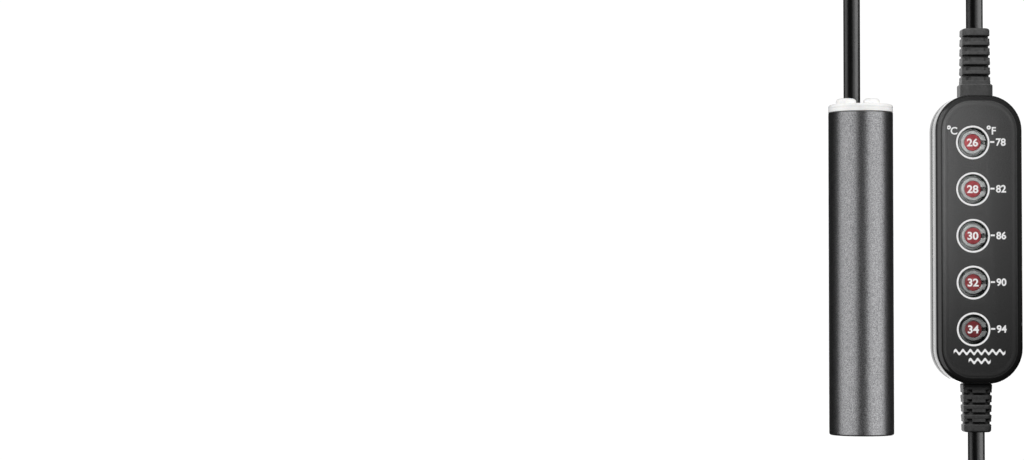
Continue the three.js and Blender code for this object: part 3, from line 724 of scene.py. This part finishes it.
def build_relief(node, side, shape):
    """One relief, above (side 1) or below (side -1) the case, as levels of closed loops."""
    low, high, _ = box_mm(node)
    base_z = CASE_HIGH.z if side > 0 else CASE_LOW.z
    length = high.z - base_z if side > 0 else base_z - low.z
    bore = [CABLE_RADIUS + 0.08] * len(RELIEF_ANGLES)
    neck = squircle(RELIEF_NECK, RELIEF_NECK, 4.0)

    def width_at(height):
        return shape["base"] + (shape["end"] - shape["base"]) * height / length

    def section(height, inset=0.0):
        width = width_at(height) - 2 * inset
        return squircle(width, RELIEF_DEPTH_SHARE * width, RELIEF_CORNER - inset)

    levels = [(-3.4, bore), (-3.4, neck), (0.02, neck)]
    if shape["collar"]:
        wide = squircle(shape["collar"], 9.4, 2.6)
        narrow = squircle(shape["collar"] - 0.7, 8.7, 2.3)
        levels += [(-1.2, narrow), (-1.0, wide), (COLLAR_HEIGHT - 0.4, wide), (COLLAR_HEIGHT - 0.05, narrow)]
        levels.append((COLLAR_HEIGHT, section(COLLAR_HEIGHT)))
    else:
        levels += [(0.04, section(0, 0.3)), (0.3, section(0.3))]
    for i in range(shape["slots"]):
        middle = shape["first"] + i * RELIEF_PITCH
        foot = middle - SLOT / 2 - POCKET_HEIGHT
        near, far = middle - SLOT / 2, middle + SLOT / 2
        floor = slot_floor(width_at(middle))
        sunk = pocket(section(near, 0.05), floor)
        levels += [(foot - 0.15, section(foot)), (foot - 0.02, section(foot, 0.05)), (foot, sunk)]
        levels += [(near - 0.1, sunk), (near, floor), (far, floor)]
        levels += [(far + 0.02, section(far, 0.2)), (far + 0.22, section(far))]
    for t in quarter_turn(6):
        inset = 0.9 * (1 - math.cos(t))
        levels.append((length - 0.7 + 0.7 * math.sin(t), section(length, inset)))
    levels += [(length, [CABLE_RADIUS + 0.5] * len(RELIEF_ANGLES)), (length - 0.35, bore)]
    loops = [relief_loop(height, radii, side, base_z) for height, radii in levels]
    relief = loft(node + "_moulding", loops, closed=True)
    stand_in(relief, node, "rubber", sharp_from=28)


def build_reliefs():
    build_relief("upper_strain_relief", 1, UPPER_RELIEF)
    build_relief("lower_strain_relief", -1, LOWER_RELIEF)


# ---- the case

CASE_CORNER = 11.0
EDGE_INSET = 2.3
FRONT_EDGE_DEPTH = 1.8
REAR_EDGE_DEPTH = 3.2
BEAD = 1.1  # width of the raised line round the panel
SEAM = [(0, 0.3), (0.05, 0.15), (0.18, 0.05), (1.5, 0.05), (1.6, 0.3)]  # (inset, y) where the covers meet
NECK_OPENING = 4.4  # radius of the holes that the reliefs' necks sit in
KEY_OPENING = 4.42
OPENING_EDGE = 0.22  # the rounding round a key's opening


def case_loop(inset, y):
    """The case's outline, drawn in by `inset`, at the given depth."""
    corner = max(CASE_CORNER - inset, 0.6)
    outline = rounded_outline(CASE_WIDTH - 2 * inset, CASE_HEIGHT - 2 * inset, corner)
    return [(CASE_MID.x + x, y, CASE_MID.z + z) for x, z in outline]


def shoulder(face_y, side_y, inset, steps=9):
    """(inset, y) pairs of a rounded edge, from the face's rim to the side wall."""
    depth = face_y - side_y
    return [(inset * (1 - math.sin(t)), side_y + depth * math.cos(t)) for t in quarter_turn(steps)]


def key_opening(temperature):
    """A cutter for a key's opening, flared where it meets the panel so that the edge comes out rounded."""
    middle = LENS_MID[temperature]
    radius, edge = KEY_OPENING, OPENING_EDGE
    flare = [
        (radius + edge * (1 - math.sin(t)), CASE_FRONT + edge * (1 - math.cos(t))) for t in quarter_turn(5)
    ]
    profile = [(radius + edge + 0.4, CASE_FRONT - 0.4), *flare, (radius, CASE_FRONT + 2.4)]
    return turned(f"opening_{temperature}", profile, (middle.x, middle.z), 72, axis="y")


def cut_necks(cover):
    """Opens both ends of a cover for the reliefs' necks."""
    for z_end in (CASE_LOW.z, CASE_HIGH.z):
        profile = [(NECK_OPENING, z_end - 2.5), (NECK_OPENING, z_end + 2.5)]
        combine(cover, turned("neck", profile, (CASE_MID.x, 0), 48), "DIFFERENCE")


def build_front_cover():
    """A shell as (inset, y) pairs: bead and rounded edge outside, then the seam, then the inside."""
    face = CASE_FRONT
    side = face + FRONT_EDGE_DEPTH
    bead = [(BEAD, 0), (0.8 * BEAD, -0.05), (0.5 * BEAD, -0.08), (0.2 * BEAD, -0.08), (0.05 * BEAD, -0.04)]
    profile = [(EDGE_INSET + BEAD + 0.3, face)] + [(EDGE_INSET + x, face + y) for x, y in bead]
    profile += shoulder(face, side, EDGE_INSET)
    profile += [(inset, -y) for inset, y in SEAM]
    profile += [(1.6, side + 1.4), (2.2, side + 0.2), (3.6, face + 1.2)]
    cover = loft("front_cover_shell", [case_loop(inset, y) for inset, y in profile])
    for temperature in TEMPERATURES:
        combine(cover, key_opening(temperature), "DIFFERENCE")
    cut_necks(cover)
    stand_in(cover, "front_cover", "case", sharp_from=24)


def build_rear_cover():
    face = CASE_REAR
    side = face - REAR_EDGE_DEPTH
    profile = [(EDGE_INSET + 0.3, face)] + shoulder(face, side, EDGE_INSET)
    profile += SEAM
    profile += [(1.6, side - 0.4), (2.2, side + 1.0), (3.6, face - 1.6)]
    cover = loft("rear_cover_shell", [case_loop(inset, y) for inset, y in profile])
    cut_necks(cover)
    for index in range(1, 5):
        build_screw_well(cover, index)
    stand_in(cover, "rear_cover", "case", sharp_from=24)


BOSS_RADIUS = 2.6
SCREW_HOLE = 1.2
COUNTERBORE = 2.05
SCREW_SEAT = 4.6
SCREW_HEAD = 1.5
SCREW_CROWN = 0.55
THREAD = {"crest": 0.9, "root": 0.66, "pitch": 0.5}


def build_screw_well(cover, index):
    """A boss for one screw, and the counterbore that its head lies in."""
    _, _, middle = box_mm(f"cover_screw_{index}")
    at = (middle.x, middle.z)
    boss = [(BOSS_RADIUS, 0.1), (BOSS_RADIUS, CASE_REAR - 0.8)]
    combine(cover, turned("boss", boss, at, 40, axis="y"), "UNION")
    hole = [(SCREW_HOLE, -1), (SCREW_HOLE, CASE_REAR - 1)]
    combine(cover, turned("hole", hole, at, 32, axis="y"), "DIFFERENCE")
    bore = [(COUNTERBORE, SCREW_SEAT), (COUNTERBORE, CASE_REAR - 0.25)]
    bore += [(COUNTERBORE + 0.25, CASE_REAR), (COUNTERBORE + 0.65, CASE_REAR + 0.4)]
    combine(cover, turned("bore", bore, at, 48, axis="y"), "DIFFERENCE")


def build_screws():
    for index in range(1, 5):
        node = f"cover_screw_{index}"
        low, high, middle = box_mm(node)
        radius = (high.x - low.x) / 2
        at = (middle.x, middle.z)
        seat = high.y - SCREW_HEAD
        thread = []
        y = low.y + 0.9
        while y < seat - 0.6:
            thread += [(THREAD["crest"], y), (THREAD["root"], y + THREAD["pitch"] / 2)]
            y += THREAD["pitch"]
        crown = rounded_end(radius, high.y, SCREW_CROWN)
        profile = [(0.1, low.y), *thread, (0.75, seat), (radius, seat), *crown]
        screw = turned(f"case_screw_{index}", profile, at, 40, axis="y")
        combine(screw, cross_cutter(at, high.y), "DIFFERENCE")
        stand_in(screw, node, "steel", sharp_from=30)


def cross_cutter(at, top):
    """A tapering cross recess."""
    loops = []
    for y, length, width in ((top - 0.85, 0.45, 0.14), (top + 0.3, 1.15, 0.27)):
        outline = [(length, width), (width, width), (width, length), (-width, length), (-width, width)]
        outline += [(-length, width), (-length, -width), (-width, -width), (-width, -length)]
        outline += [(width, -length), (width, -width), (length, -width)]
        loops.append([(at[0] + x, y, at[1] + z) for x, z in outline])
    return loft("cross", loops)


# ---- keys

KEY_RADIUS = 3.55
KEY_ARM_REACH = 4.12  # from the key's middle to the ends of the stub arms on its face
KEY_ARM_INNER = 0.6
KEY_ARM_OUTER = 2.27
KEY_ARM_THICKNESS = 0.9
KEY_EDGE = 0.22
KEY_WINDOW = 2.62
KEY_SKIRT = 4.25  # a thin flange well below the key's face, seen in the gap round it
KEY_SKIRT_DEPTH = 1.8
KEY_SKIRT_THICKNESS = 0.5
KEY_POST = 0.5
LENS_EDGE = 0.2


def key_outline(centre):
    """The Ω of a key's face: a broken ring with two stub arms on the right."""

    def on_circle(radius, height):
        return math.degrees(math.asin(height / radius))

    inner = on_circle(KEY_WINDOW, KEY_ARM_INNER)
    reach_in = on_circle(KEY_ARM_REACH, KEY_ARM_INNER)
    reach_out = on_circle(KEY_ARM_REACH, KEY_ARM_OUTER)
    outer = on_circle(KEY_RADIUS, KEY_ARM_OUTER)
    points = arc((0, 0), KEY_WINDOW, 360 - inner, inner, 48)
    points += arc((0, 0), KEY_ARM_REACH, reach_in, reach_out, 6)
    points += arc((0, 0), KEY_RADIUS, outer, 360 - outer, 64)
    points += arc((0, 0), KEY_ARM_REACH, -reach_out, -reach_in, 6)
    return [(centre.x + x, centre.z + z) for x, z in points]


def key_arms(centre, right, back):
    """The two arms behind the panel, joined at their root on the right."""
    left, root = centre.x + 2.85, right - 0.9
    inner, outer = KEY_ARM_INNER, KEY_ARM_OUTER
    outline = [(left, -outer), (right, -outer), (right, outer), (left, outer)]
    outline += [(left, inner), (root, inner), (root, -inner), (left, -inner)]
    outline = [(x, centre.z + z) for x, z in outline]
    return flat_mesh("arms", [outline], back - KEY_ARM_THICKNESS, back - 0.02, 0.08, 1)


def key_skirt(centre):
    top = KEY_TOP + KEY_SKIRT_DEPTH
    foot = top + KEY_SKIRT_THICKNESS
    profile = [(KEY_WINDOW, foot), (KEY_WINDOW, top), (KEY_SKIRT, top), (KEY_SKIRT, foot)]
    return turned("skirt", profile, (centre.x, centre.z), 72, axis="y", closed=True)


def key_post(temperature, centre, back, foot):
    """The post that pushes the switch."""
    post_x = box_mm(f"switch_plunger_{temperature}")[2].x
    profile = [(KEY_POST, back - 0.3), (KEY_POST, foot - 0.1), (KEY_POST - 0.1, foot)]
    return turned("post", profile, (post_x, centre.z), 24, axis="y")


def build_key(temperature):
    body = f"key_{temperature}"
    _, high, _ = box_mm(body)
    centre = LENS_MID[temperature]
    back = box_mm("key_strip")[1].y
    key = flat_mesh(f"key_face_{temperature}", [key_outline(centre)], KEY_TOP, back, KEY_EDGE)
    combine(key, key_arms(centre, high.x, back), "UNION")
    combine(key, key_skirt(centre), "UNION")
    combine(key, key_post(temperature, centre, back, high.y), "UNION")
    stand_in(key, body, "key", body, sharp_from=30)
    build_lens(temperature, centre, body)


def build_lens(temperature, centre, body):
    """The red window of a key, with its number in front."""
    node = f"key_lens_{temperature}"
    low, high, _ = box_mm(node)
    radius, edge = LENS_RADIUS + 0.06, LENS_EDGE
    rim = [(radius - edge * (1 - math.cos(t)), low.y + edge * (1 - math.sin(t))) for t in quarter_turn(5)]
    profile = [(0.3, high.y), (radius, high.y), *rim, (0.3, low.y)]
    lens = turned(f"lens_{temperature}", profile, (centre.x, centre.z), 64, axis="y")
    stand_in(lens, node, "lens", body)
    place = (centre.x - 0.05, centre.z)
    name, text = f"number_{temperature}", str(temperature)
    print_label(name, text, NUMBER_HEIGHT, place, low.y, stretch=1.08, body=body)


# ---- printing on the panel

INK = 0.03  # thickness of the print
INK_SINK = 0.01  # how far it reaches into the surface
FONT_SIZE = 1.38  # of the font's size to the height of a capital
NUMBER_HEIGHT = 2.5  # on a key
FAHRENHEIT_HEIGHT = 2.4
LETTER_HEIGHT = 2.35
RING = (4.64, 5.2)
# Places are counted from the middle of a key.
DASH_X, DASH_Z = (5.4, 6.7), (-0.12, 0.42)
FAHRENHEIT_X = 8.7
UNITS = {"C": -5.84, "F": 6.55}
DEGREE_SIGN = {"x": -1.58, "z": 4.62, "radii": (0.65, 0.2)}
WAVE = {"height": 0.55, "thickness": 0.9}


def print_label(name, text, height, place, surface_y=CASE_FRONT, weight=0.04, stretch=1.0, body=FIXED):
    """White print of the given capital height, its middle at place (x, z), lying on a surface."""
    curve = bpy.data.curves.new(name, "FONT")
    curve.body = text
    curve.size = height * MM * FONT_SIZE
    curve.offset = weight * height * MM
    curve.extrude = INK * MM / 2
    curve.resolution_u = 4
    made = upright_mesh(name, curve, surface_y - INK / 2 + INK_SINK)
    low = Vector([min(v.co[i] for v in made.data.vertices) for i in range(3)])
    high = Vector([max(v.co[i] for v in made.data.vertices) for i in range(3)])
    middle = (low + high) / 2
    scale = height * MM / (high.z - low.z)
    made.data.transform(Matrix.Translation((-middle.x, 0, -middle.z)))
    made.data.transform(Matrix.Diagonal((scale * stretch, 1, scale, 1)))
    made.data.transform(Matrix.Translation((place[0] * MM, 0, place[1] * MM)))
    dress(made, "print", body)


def print_shape(name, outlines):
    """A flat white shape on the panel."""
    dress(flat_mesh(name, outlines, CASE_FRONT - INK + INK_SINK, CASE_FRONT + INK_SINK), "print")


def build_rings():
    inner, outer = RING
    sunk, proud = CASE_FRONT + INK_SINK, CASE_FRONT - INK
    profile = [(inner, sunk), (inner, proud), (outer, proud), (outer, sunk)]
    for temperature, centre in LENS_MID.items():
        ring = turned(f"ring_{temperature}", profile, (centre.x, centre.z), 96, axis="y", closed=True)
        dress(ring, "print")


def build_labels():
    for celsius, fahrenheit in TEMPERATURES.items():
        centre = LENS_MID[celsius]
        place = (centre.x + FAHRENHEIT_X, centre.z + 0.1)
        print_label(f"fahrenheit_{fahrenheit}", str(fahrenheit), FAHRENHEIT_HEIGHT, place)
        left, right = (centre.x + x for x in DASH_X)
        low, high = (centre.z + z for z in DASH_Z)
        dash = [(left, low), (right, low), (right, high), (left, high)]
        print_shape(f"dash_{fahrenheit}", [dash])
    top = LENS_MID[26]
    for letter, x in UNITS.items():
        print_label(f"letter_{letter}", letter, LETTER_HEIGHT, (top.x + x, top.z + 3.6), weight=0.03)
        at = (top.x + x + DEGREE_SIGN["x"], top.z + DEGREE_SIGN["z"])
        circles = [arc(at, radius, 0, 345, 24) for radius in DEGREE_SIGN["radii"]]
        print_shape(f"degree_{letter}", circles)


def wave_outline(middle_x, half_width, z, waves):
    """A band that follows a sine wave."""
    steps = waves * 16
    upper, lower = [], []
    for i in range(steps + 1):
        x = middle_x - half_width + 2 * half_width * i / steps
        middle = z + WAVE["height"] * math.sin(2 * math.pi * waves * i / steps)
        upper.append((x, middle + WAVE["thickness"] / 2))
        lower.append((x, middle - WAVE["thickness"] / 2))
    return upper + lower[::-1]


def build_water_mark():
    """A plain sign for water below the keys: two rows of waves."""
    z = LENS_MID[34].z
    middle = CASE_MID.x - 0.35
    print_shape("water_mark_1", [wave_outline(middle, 8.0, z - 7.0, 7)])
    print_shape("water_mark_2", [wave_outline(middle, 3.4, z - 9.75, 3)])


# ---- plug


PLUG_NECK = 5.5  # half the plug's width where the cord enters
PLUG_EDGE = 2.4
PIN_TIP = 1.9
GRIP = {"grooves": 4, "first": 8, "pitch": 2.6, "half_width": 3.6, "radius": 0.62}


def build_plug():
    """The moulding with its openings for cord and pins, the pins, and grip grooves on both faces."""
    low, high = PLUG_LOW, PLUG_HIGH
    body = flat_mesh("plug_moulding", [plug_outline()], low.y, high.y, PLUG_EDGE, 5)
    bore = CABLE_RADIUS + 0.1
    hole = turned("hole", [(bore, low.z - 1), (bore, low.z + 11)], (PLUG_MID.x, 0), 48)
    combine(body, hole, "DIFFERENCE")
    for pin in ("plug_pin_1", "plug_pin_2"):
        build_pin(body, pin)
    for i in range(GRIP["grooves"]):
        for face_y in (-high.y, high.y):
            cut_grip(body, low.z + GRIP["first"] + GRIP["pitch"] * i, face_y)
    stand_in(body, "plug_body", "plug", sharp_from=30)


def build_pin(body, pin):
    """A round pin with a domed tip, thinner above its sleeve, and its socket in the moulding."""
    low, high, middle = box_mm(pin)
    radius = (high.x - low.x) / 2
    at = (middle.x, middle.y)
    socket = [(radius + 0.1, low.z - 0.1), (radius + 0.1, PLUG_FACE + 1)]
    combine(body, turned("socket", socket, at, 40), "DIFFERENCE")
    half = (PLUG_FACE + high.z) / 2
    profile = [(0.1, low.z), (radius, low.z), (radius, half), (radius - 0.12, half + 0.12)]
    profile += rounded_end(radius, high.z, PIN_TIP)
    made = turned(pin + "_metal", profile, at, 48)
    stand_in(made, pin, "pins", sharp_from=40)


def plug_outline():
    """The plug from the front: a narrow neck for the cord, a waisted shoulder and straight sides."""
    height = PLUG_HIGH.z - PLUG_LOW.z
    half_width = (PLUG_HIGH.x - PLUG_LOW.x) / 2
    waist = PLUG_NECK + 0.1
    right = [(PLUG_NECK, 0), (waist, 3)]
    for i in range(13):
        t = i / 12
        ease = t * t * (3 - 2 * t)
        right.append((waist + (half_width - waist) * ease, 4 + (height - 13) * t))
    right.append((half_width, height))
    points = [(PLUG_MID.x + x, PLUG_LOW.z + z) for x, z in right]
    points += [(PLUG_MID.x - x, PLUG_LOW.z + z) for x, z in right[::-1]]
    return points


def cut_grip(body, z, face_y):
    """A shallow level groove across one face of the plug."""
    section = arc((0, 0), GRIP["radius"], 0, 330, 12)
    loops = []
    for x in (PLUG_MID.x - GRIP["half_width"], PLUG_MID.x + GRIP["half_width"]):
        loops.append([(x, face_y + a, z + b) for a, b in section])
    combine(body, loft("groove", loops), "DIFFERENCE")


# ---- inner parts, as they are in the frame

CAD_MATERIALS = {
    "rubber": ["cap_seal"],
    "resin": ["potting_plug"],
    "ceramic": ["ceramic_core", "lower_spacer", "upper_spacer"],
    "alloy": ["heating_wire"],
    "mica": ["insulation_sleeve"],
    "steel": ["thermal_fuse", "water_sensor", "cutout_sensor", "fuse"],
    "lead": ["element_lead", "heater_wires", "supply_wires"],
    "key": ["key_strip"],
    "board": ["circuit_board"],
    "chip": ["triac", "capacitor", "control_chip"] + [f"switch_body_{t}" for t in TEMPERATURES],
    "led": [f"led_{t}" for t in TEMPERATURES],
    "white": [f"switch_plunger_{t}" for t in TEMPERATURES],
}


def dress_cad_nodes():
    for material, nodes in CAD_MATERIALS.items():
        for node in nodes:
            data = frame["nodes"][node].data
            data.materials.clear()
            data.materials.append(MATERIALS[material])


# ---- studio

# The camera stands a little left of the front, so that the case's left side wall shows.
CAMERA_AZIMUTH = -9.5  # degrees round the tube's axis, negative to the left of the front
CAMERA_DISTANCE, CAMERA_HEIGHT = 805.4, 42.7  # mm
CAMERA_LEFT, CAMERA_UP = -1.76, 1.5  # degrees to the left of +Y and above the horizon
CAMERA_LENS = 90.3  # mm of focal length
# Pieces that the studio lights separately, by material; everything else falls to the last group.
LIGHT_GROUPS = {
    "controller": ("case", "key", "lens"),
    "print": ("print",),
    "reliefs": ("rubber",),
    "cables": ("cable",),
    "cap": ("white",),
    "plug": ("plug", "pins", "steel"),
    "tube": (),
}


def build_camera():
    data = bpy.data.cameras.new("camera")
    data.lens = CAMERA_LENS
    data.clip_start = 0.01
    camera = add_object("camera", data)
    turn = math.radians(CAMERA_AZIMUTH)
    place = Vector((CAMERA_DISTANCE * math.sin(turn), -CAMERA_DISTANCE * math.cos(turn), CAMERA_HEIGHT))
    camera.location = place * MM
    camera.rotation_euler = (math.radians(90 + CAMERA_UP), 0, math.radians(CAMERA_LEFT))
    bpy.context.scene.camera = camera


def light_groups():
    """A collection of pieces for each of the light groups."""
    groups = {name: bpy.data.collections.new(name) for name in LIGHT_GROUPS}
    for piece in list(bpy.context.scene.objects):
        if piece.type == "MESH" and piece.data.materials:
            material = piece.data.materials[0]
            found = [name for name, keys in LIGHT_GROUPS.items() if material in [MATERIALS[k] for k in keys]]
            groups[found[0] if found else "tube"].objects.link(piece)
    return groups


# Softboxes: azimuth counted from the camera's, positive to the right, elevation, distance and size in
# metres, radiance, the group that it lights (None lights everything) and the rays that see it.
SOFTBOXES = {
    "tube_left": (-49, 0, 0.5, (0.66, 1.0), 3.5, "tube", "glossy"),
    "tube_right": (55, 0, 0.5, (0.62, 1.0), 4.0, "tube", "glossy"),
    "tube_fill": (0, 25, 0.8, (0.5, 0.4), 8.0, "tube", "diffuse"),
    "cap_front": (0, 25, 0.8, (0.5, 0.4), 7.0, "cap", "diffuse"),
    "cap_left": (-78, 15, 0.6, (0.4, 0.4), 4.6, "cap", "diffuse"),
    "cap_right": (78, 15, 0.6, (0.4, 0.4), 4.6, "cap", "diffuse"),
    "cable_left": (-86, 0, 0.5, (0.44, 1.0), 1.6, "cables", "glossy"),
    "cable_right": (76, 0, 0.5, (0.56, 1.0), 3.9, "cables", "glossy"),
    "cable_front": (33, 0, 0.5, (0.3, 1.0), 1.5, "cables", "glossy"),
    "relief_key": (-20, 45, 0.5, (0.4, 0.4), 12.5, "reliefs", "diffuse"),
    "relief_behind": (-155, 0, 0.6, (0.5, 0.9), 1.6, "reliefs", "glossy"),
    "case_key": (9.5, 0, 0.04, (0.03, 0.15), 7.5, "controller", "diffuse"),
    "print_front": (0, 0, 0.6, (0.5, 0.5), 4.9, "print", "diffuse"),
    "case_left": (-51, 0, 0.5, (0.6, 1.0), 1.5, "controller", "glossy"),
    "case_behind": (-166, 0, 0.6, (0.55, 0.8), 1.3, "controller", "glossy"),
    "case_back": (144, -15, 0.6, (0.9, 0.17), 2.2, "controller", "glossy"),
    "case_side": (120, 10, 0.6, (0.4, 0.6), 7.0, "controller", "diffuse"),
    "relief_side": (120, 10, 0.6, (0.4, 0.6), 5.0, "reliefs", "diffuse"),
    "tube_back": (180, 0, 0.5, (0.2, 1.0), 2.2, "tube", "glossy"),
    "plug_side": (105, 20, 0.6, (0.4, 0.4), 5.0, "plug", "both"),
    "plug_front": (20, 30, 0.6, (0.4, 0.4), 6.0, "plug", "both"),
    "plug_back": (150, 0, 0.6, (0.9, 0.6), 2.5, "plug", "both"),
    "back_rim": (165, 50, 0.9, (0.6, 0.4), 2.0, None, "diffuse"),
}
# The points that they shine at, in millimetres, by name or else by group.
CASE_POINT = (CASE_MID.x, CASE_FRONT, CASE_MID.z)
AIMS = {
    "case_key": (CASE_MID.x - 27, CASE_FRONT, 122),
    "controller": CASE_POINT,
    "print": CASE_POINT,
    "reliefs": CASE_POINT,
}
OTHER_AIM = (0, 0, 60)


def softbox(name, azimuth, elevation, distance, size, radiance, receivers, seen_by, aim):
    """A flat light that the camera doesn't see."""
    data = bpy.data.lights.new(name, "AREA")
    data.shape = "RECTANGLE"
    data.size, data.size_y = size
    data.energy = radiance * math.pi * size[0] * size[1]
    light = add_object(name, data)
    turn, rise = math.radians(azimuth + CAMERA_AZIMUTH), math.radians(elevation)
    away = Vector((math.sin(turn) * math.cos(rise), -math.cos(turn) * math.cos(rise), math.sin(rise)))
    light.location = Vector(aim) * MM + away * distance
    light.rotation_euler = away.to_track_quat("Z", "Y").to_euler()
    light.visible_camera = False
    light.visible_diffuse = seen_by in ("both", "diffuse")
    light.visible_glossy = seen_by in ("both", "glossy")
    if receivers:
        light.light_linking.receiver_collection = receivers


def build_lights():
    groups = light_groups()
    for name, (*setting, group, seen_by) in SOFTBOXES.items():
        aim = AIMS.get(name, AIMS.get(group, OTHER_AIM))
        softbox(name, *setting, groups.get(group), seen_by, aim)


SKY = {"diffuse": 0.18, "glossy": 0.04, "camera": 1.05}
FLOOR_SIZE = 12.0  # metres
FLOOR_SHADE = 0.45  # brightness right under the object
SHADE_REACH = 0.05  # metres


def build_world():
    """White to the camera, dim to reflections and soft grey to everything else."""
    world = bpy.data.worlds.new("studio")
    world.use_nodes = True
    nodes, links = world.node_tree.nodes, world.node_tree.links
    path = new_node(nodes, "LightPath")
    result = nodes["Background"].outputs[0]
    nodes["Background"].inputs["Color"].default_value = (*grey(SKY["diffuse"]), 1)
    nodes["Background"].inputs["Strength"].default_value = 1.0
    for ray, level in (("Is Glossy Ray", SKY["glossy"]), ("Is Camera Ray", SKY["camera"])):
        background = new_node(nodes, "Background", {"Color": (1, 1, 1, 1), "Strength": level})
        mix = new_node(nodes, "MixShader")
        links.new(path.outputs[ray], mix.inputs[0])
        links.new(result, mix.inputs[1])
        links.new(background.outputs[0], mix.inputs[2])
        result = mix.outputs[0]
    links.new(result, nodes["World Output"].inputs["Surface"])
    bpy.context.scene.world = world


def floor_material():
    """A white floor that glows to the camera, with a painted contact shadow from ambient occlusion where the
    object stands close above it.
    """
    material = bpy.data.materials.new("floor")
    material.use_nodes = True
    nodes, links = material.node_tree.nodes, material.node_tree.links
    nodes.clear()
    output = new_node(nodes, "OutputMaterial")
    plain = new_node(nodes, "BsdfDiffuse", {"Color": (*grey(0.35), 1)})
    glow = new_node(nodes, "Emission")
    occlusion = new_node(nodes, "AmbientOcclusion", {"Distance": SHADE_REACH}, samples=8)
    lift = new_node(nodes, "MapRange", {"To Min": FLOOR_SHADE, "To Max": SKY["camera"]})
    path = new_node(nodes, "LightPath")
    mix = new_node(nodes, "MixShader")
    links.new(occlusion.outputs["AO"], lift.inputs["Value"])
    links.new(lift.outputs[0], glow.inputs["Strength"])
    links.new(path.outputs["Is Camera Ray"], mix.inputs[0])
    links.new(plain.outputs[0], mix.inputs[1])
    links.new(glow.outputs[0], mix.inputs[2])
    links.new(mix.outputs[0], output.inputs["Surface"])
    return material


def build_floor():
    z = cad_box[0].z
    mesh = bpy.data.meshes.new("floor")
    half = FLOOR_SIZE / 2
    corners = [(-half, -half, z), (half, -half, z), (half, half, z), (-half, half, z)]
    mesh.from_pydata(corners, [], [(0, 1, 2, 3)])
    mesh.materials.append(floor_material())
    floor = add_object("floor", mesh)
    floor.visible_glossy = False
    floor.visible_shadow = False


def set_view():
    scene = bpy.context.scene
    scene.view_settings.view_transform = "Standard"
    scene.view_settings.look = "None"


# ---- assembly


build_tube()
build_cap()
build_cables()
build_reliefs()
build_front_cover()
build_rear_cover()
build_screws()
for key_temperature in TEMPERATURES:
    build_key(key_temperature)
build_rings()
build_labels()
build_water_mark()
build_plug()
dress_cad_nodes()
build_camera()
build_lights()
build_world()
build_floor()
set_view()
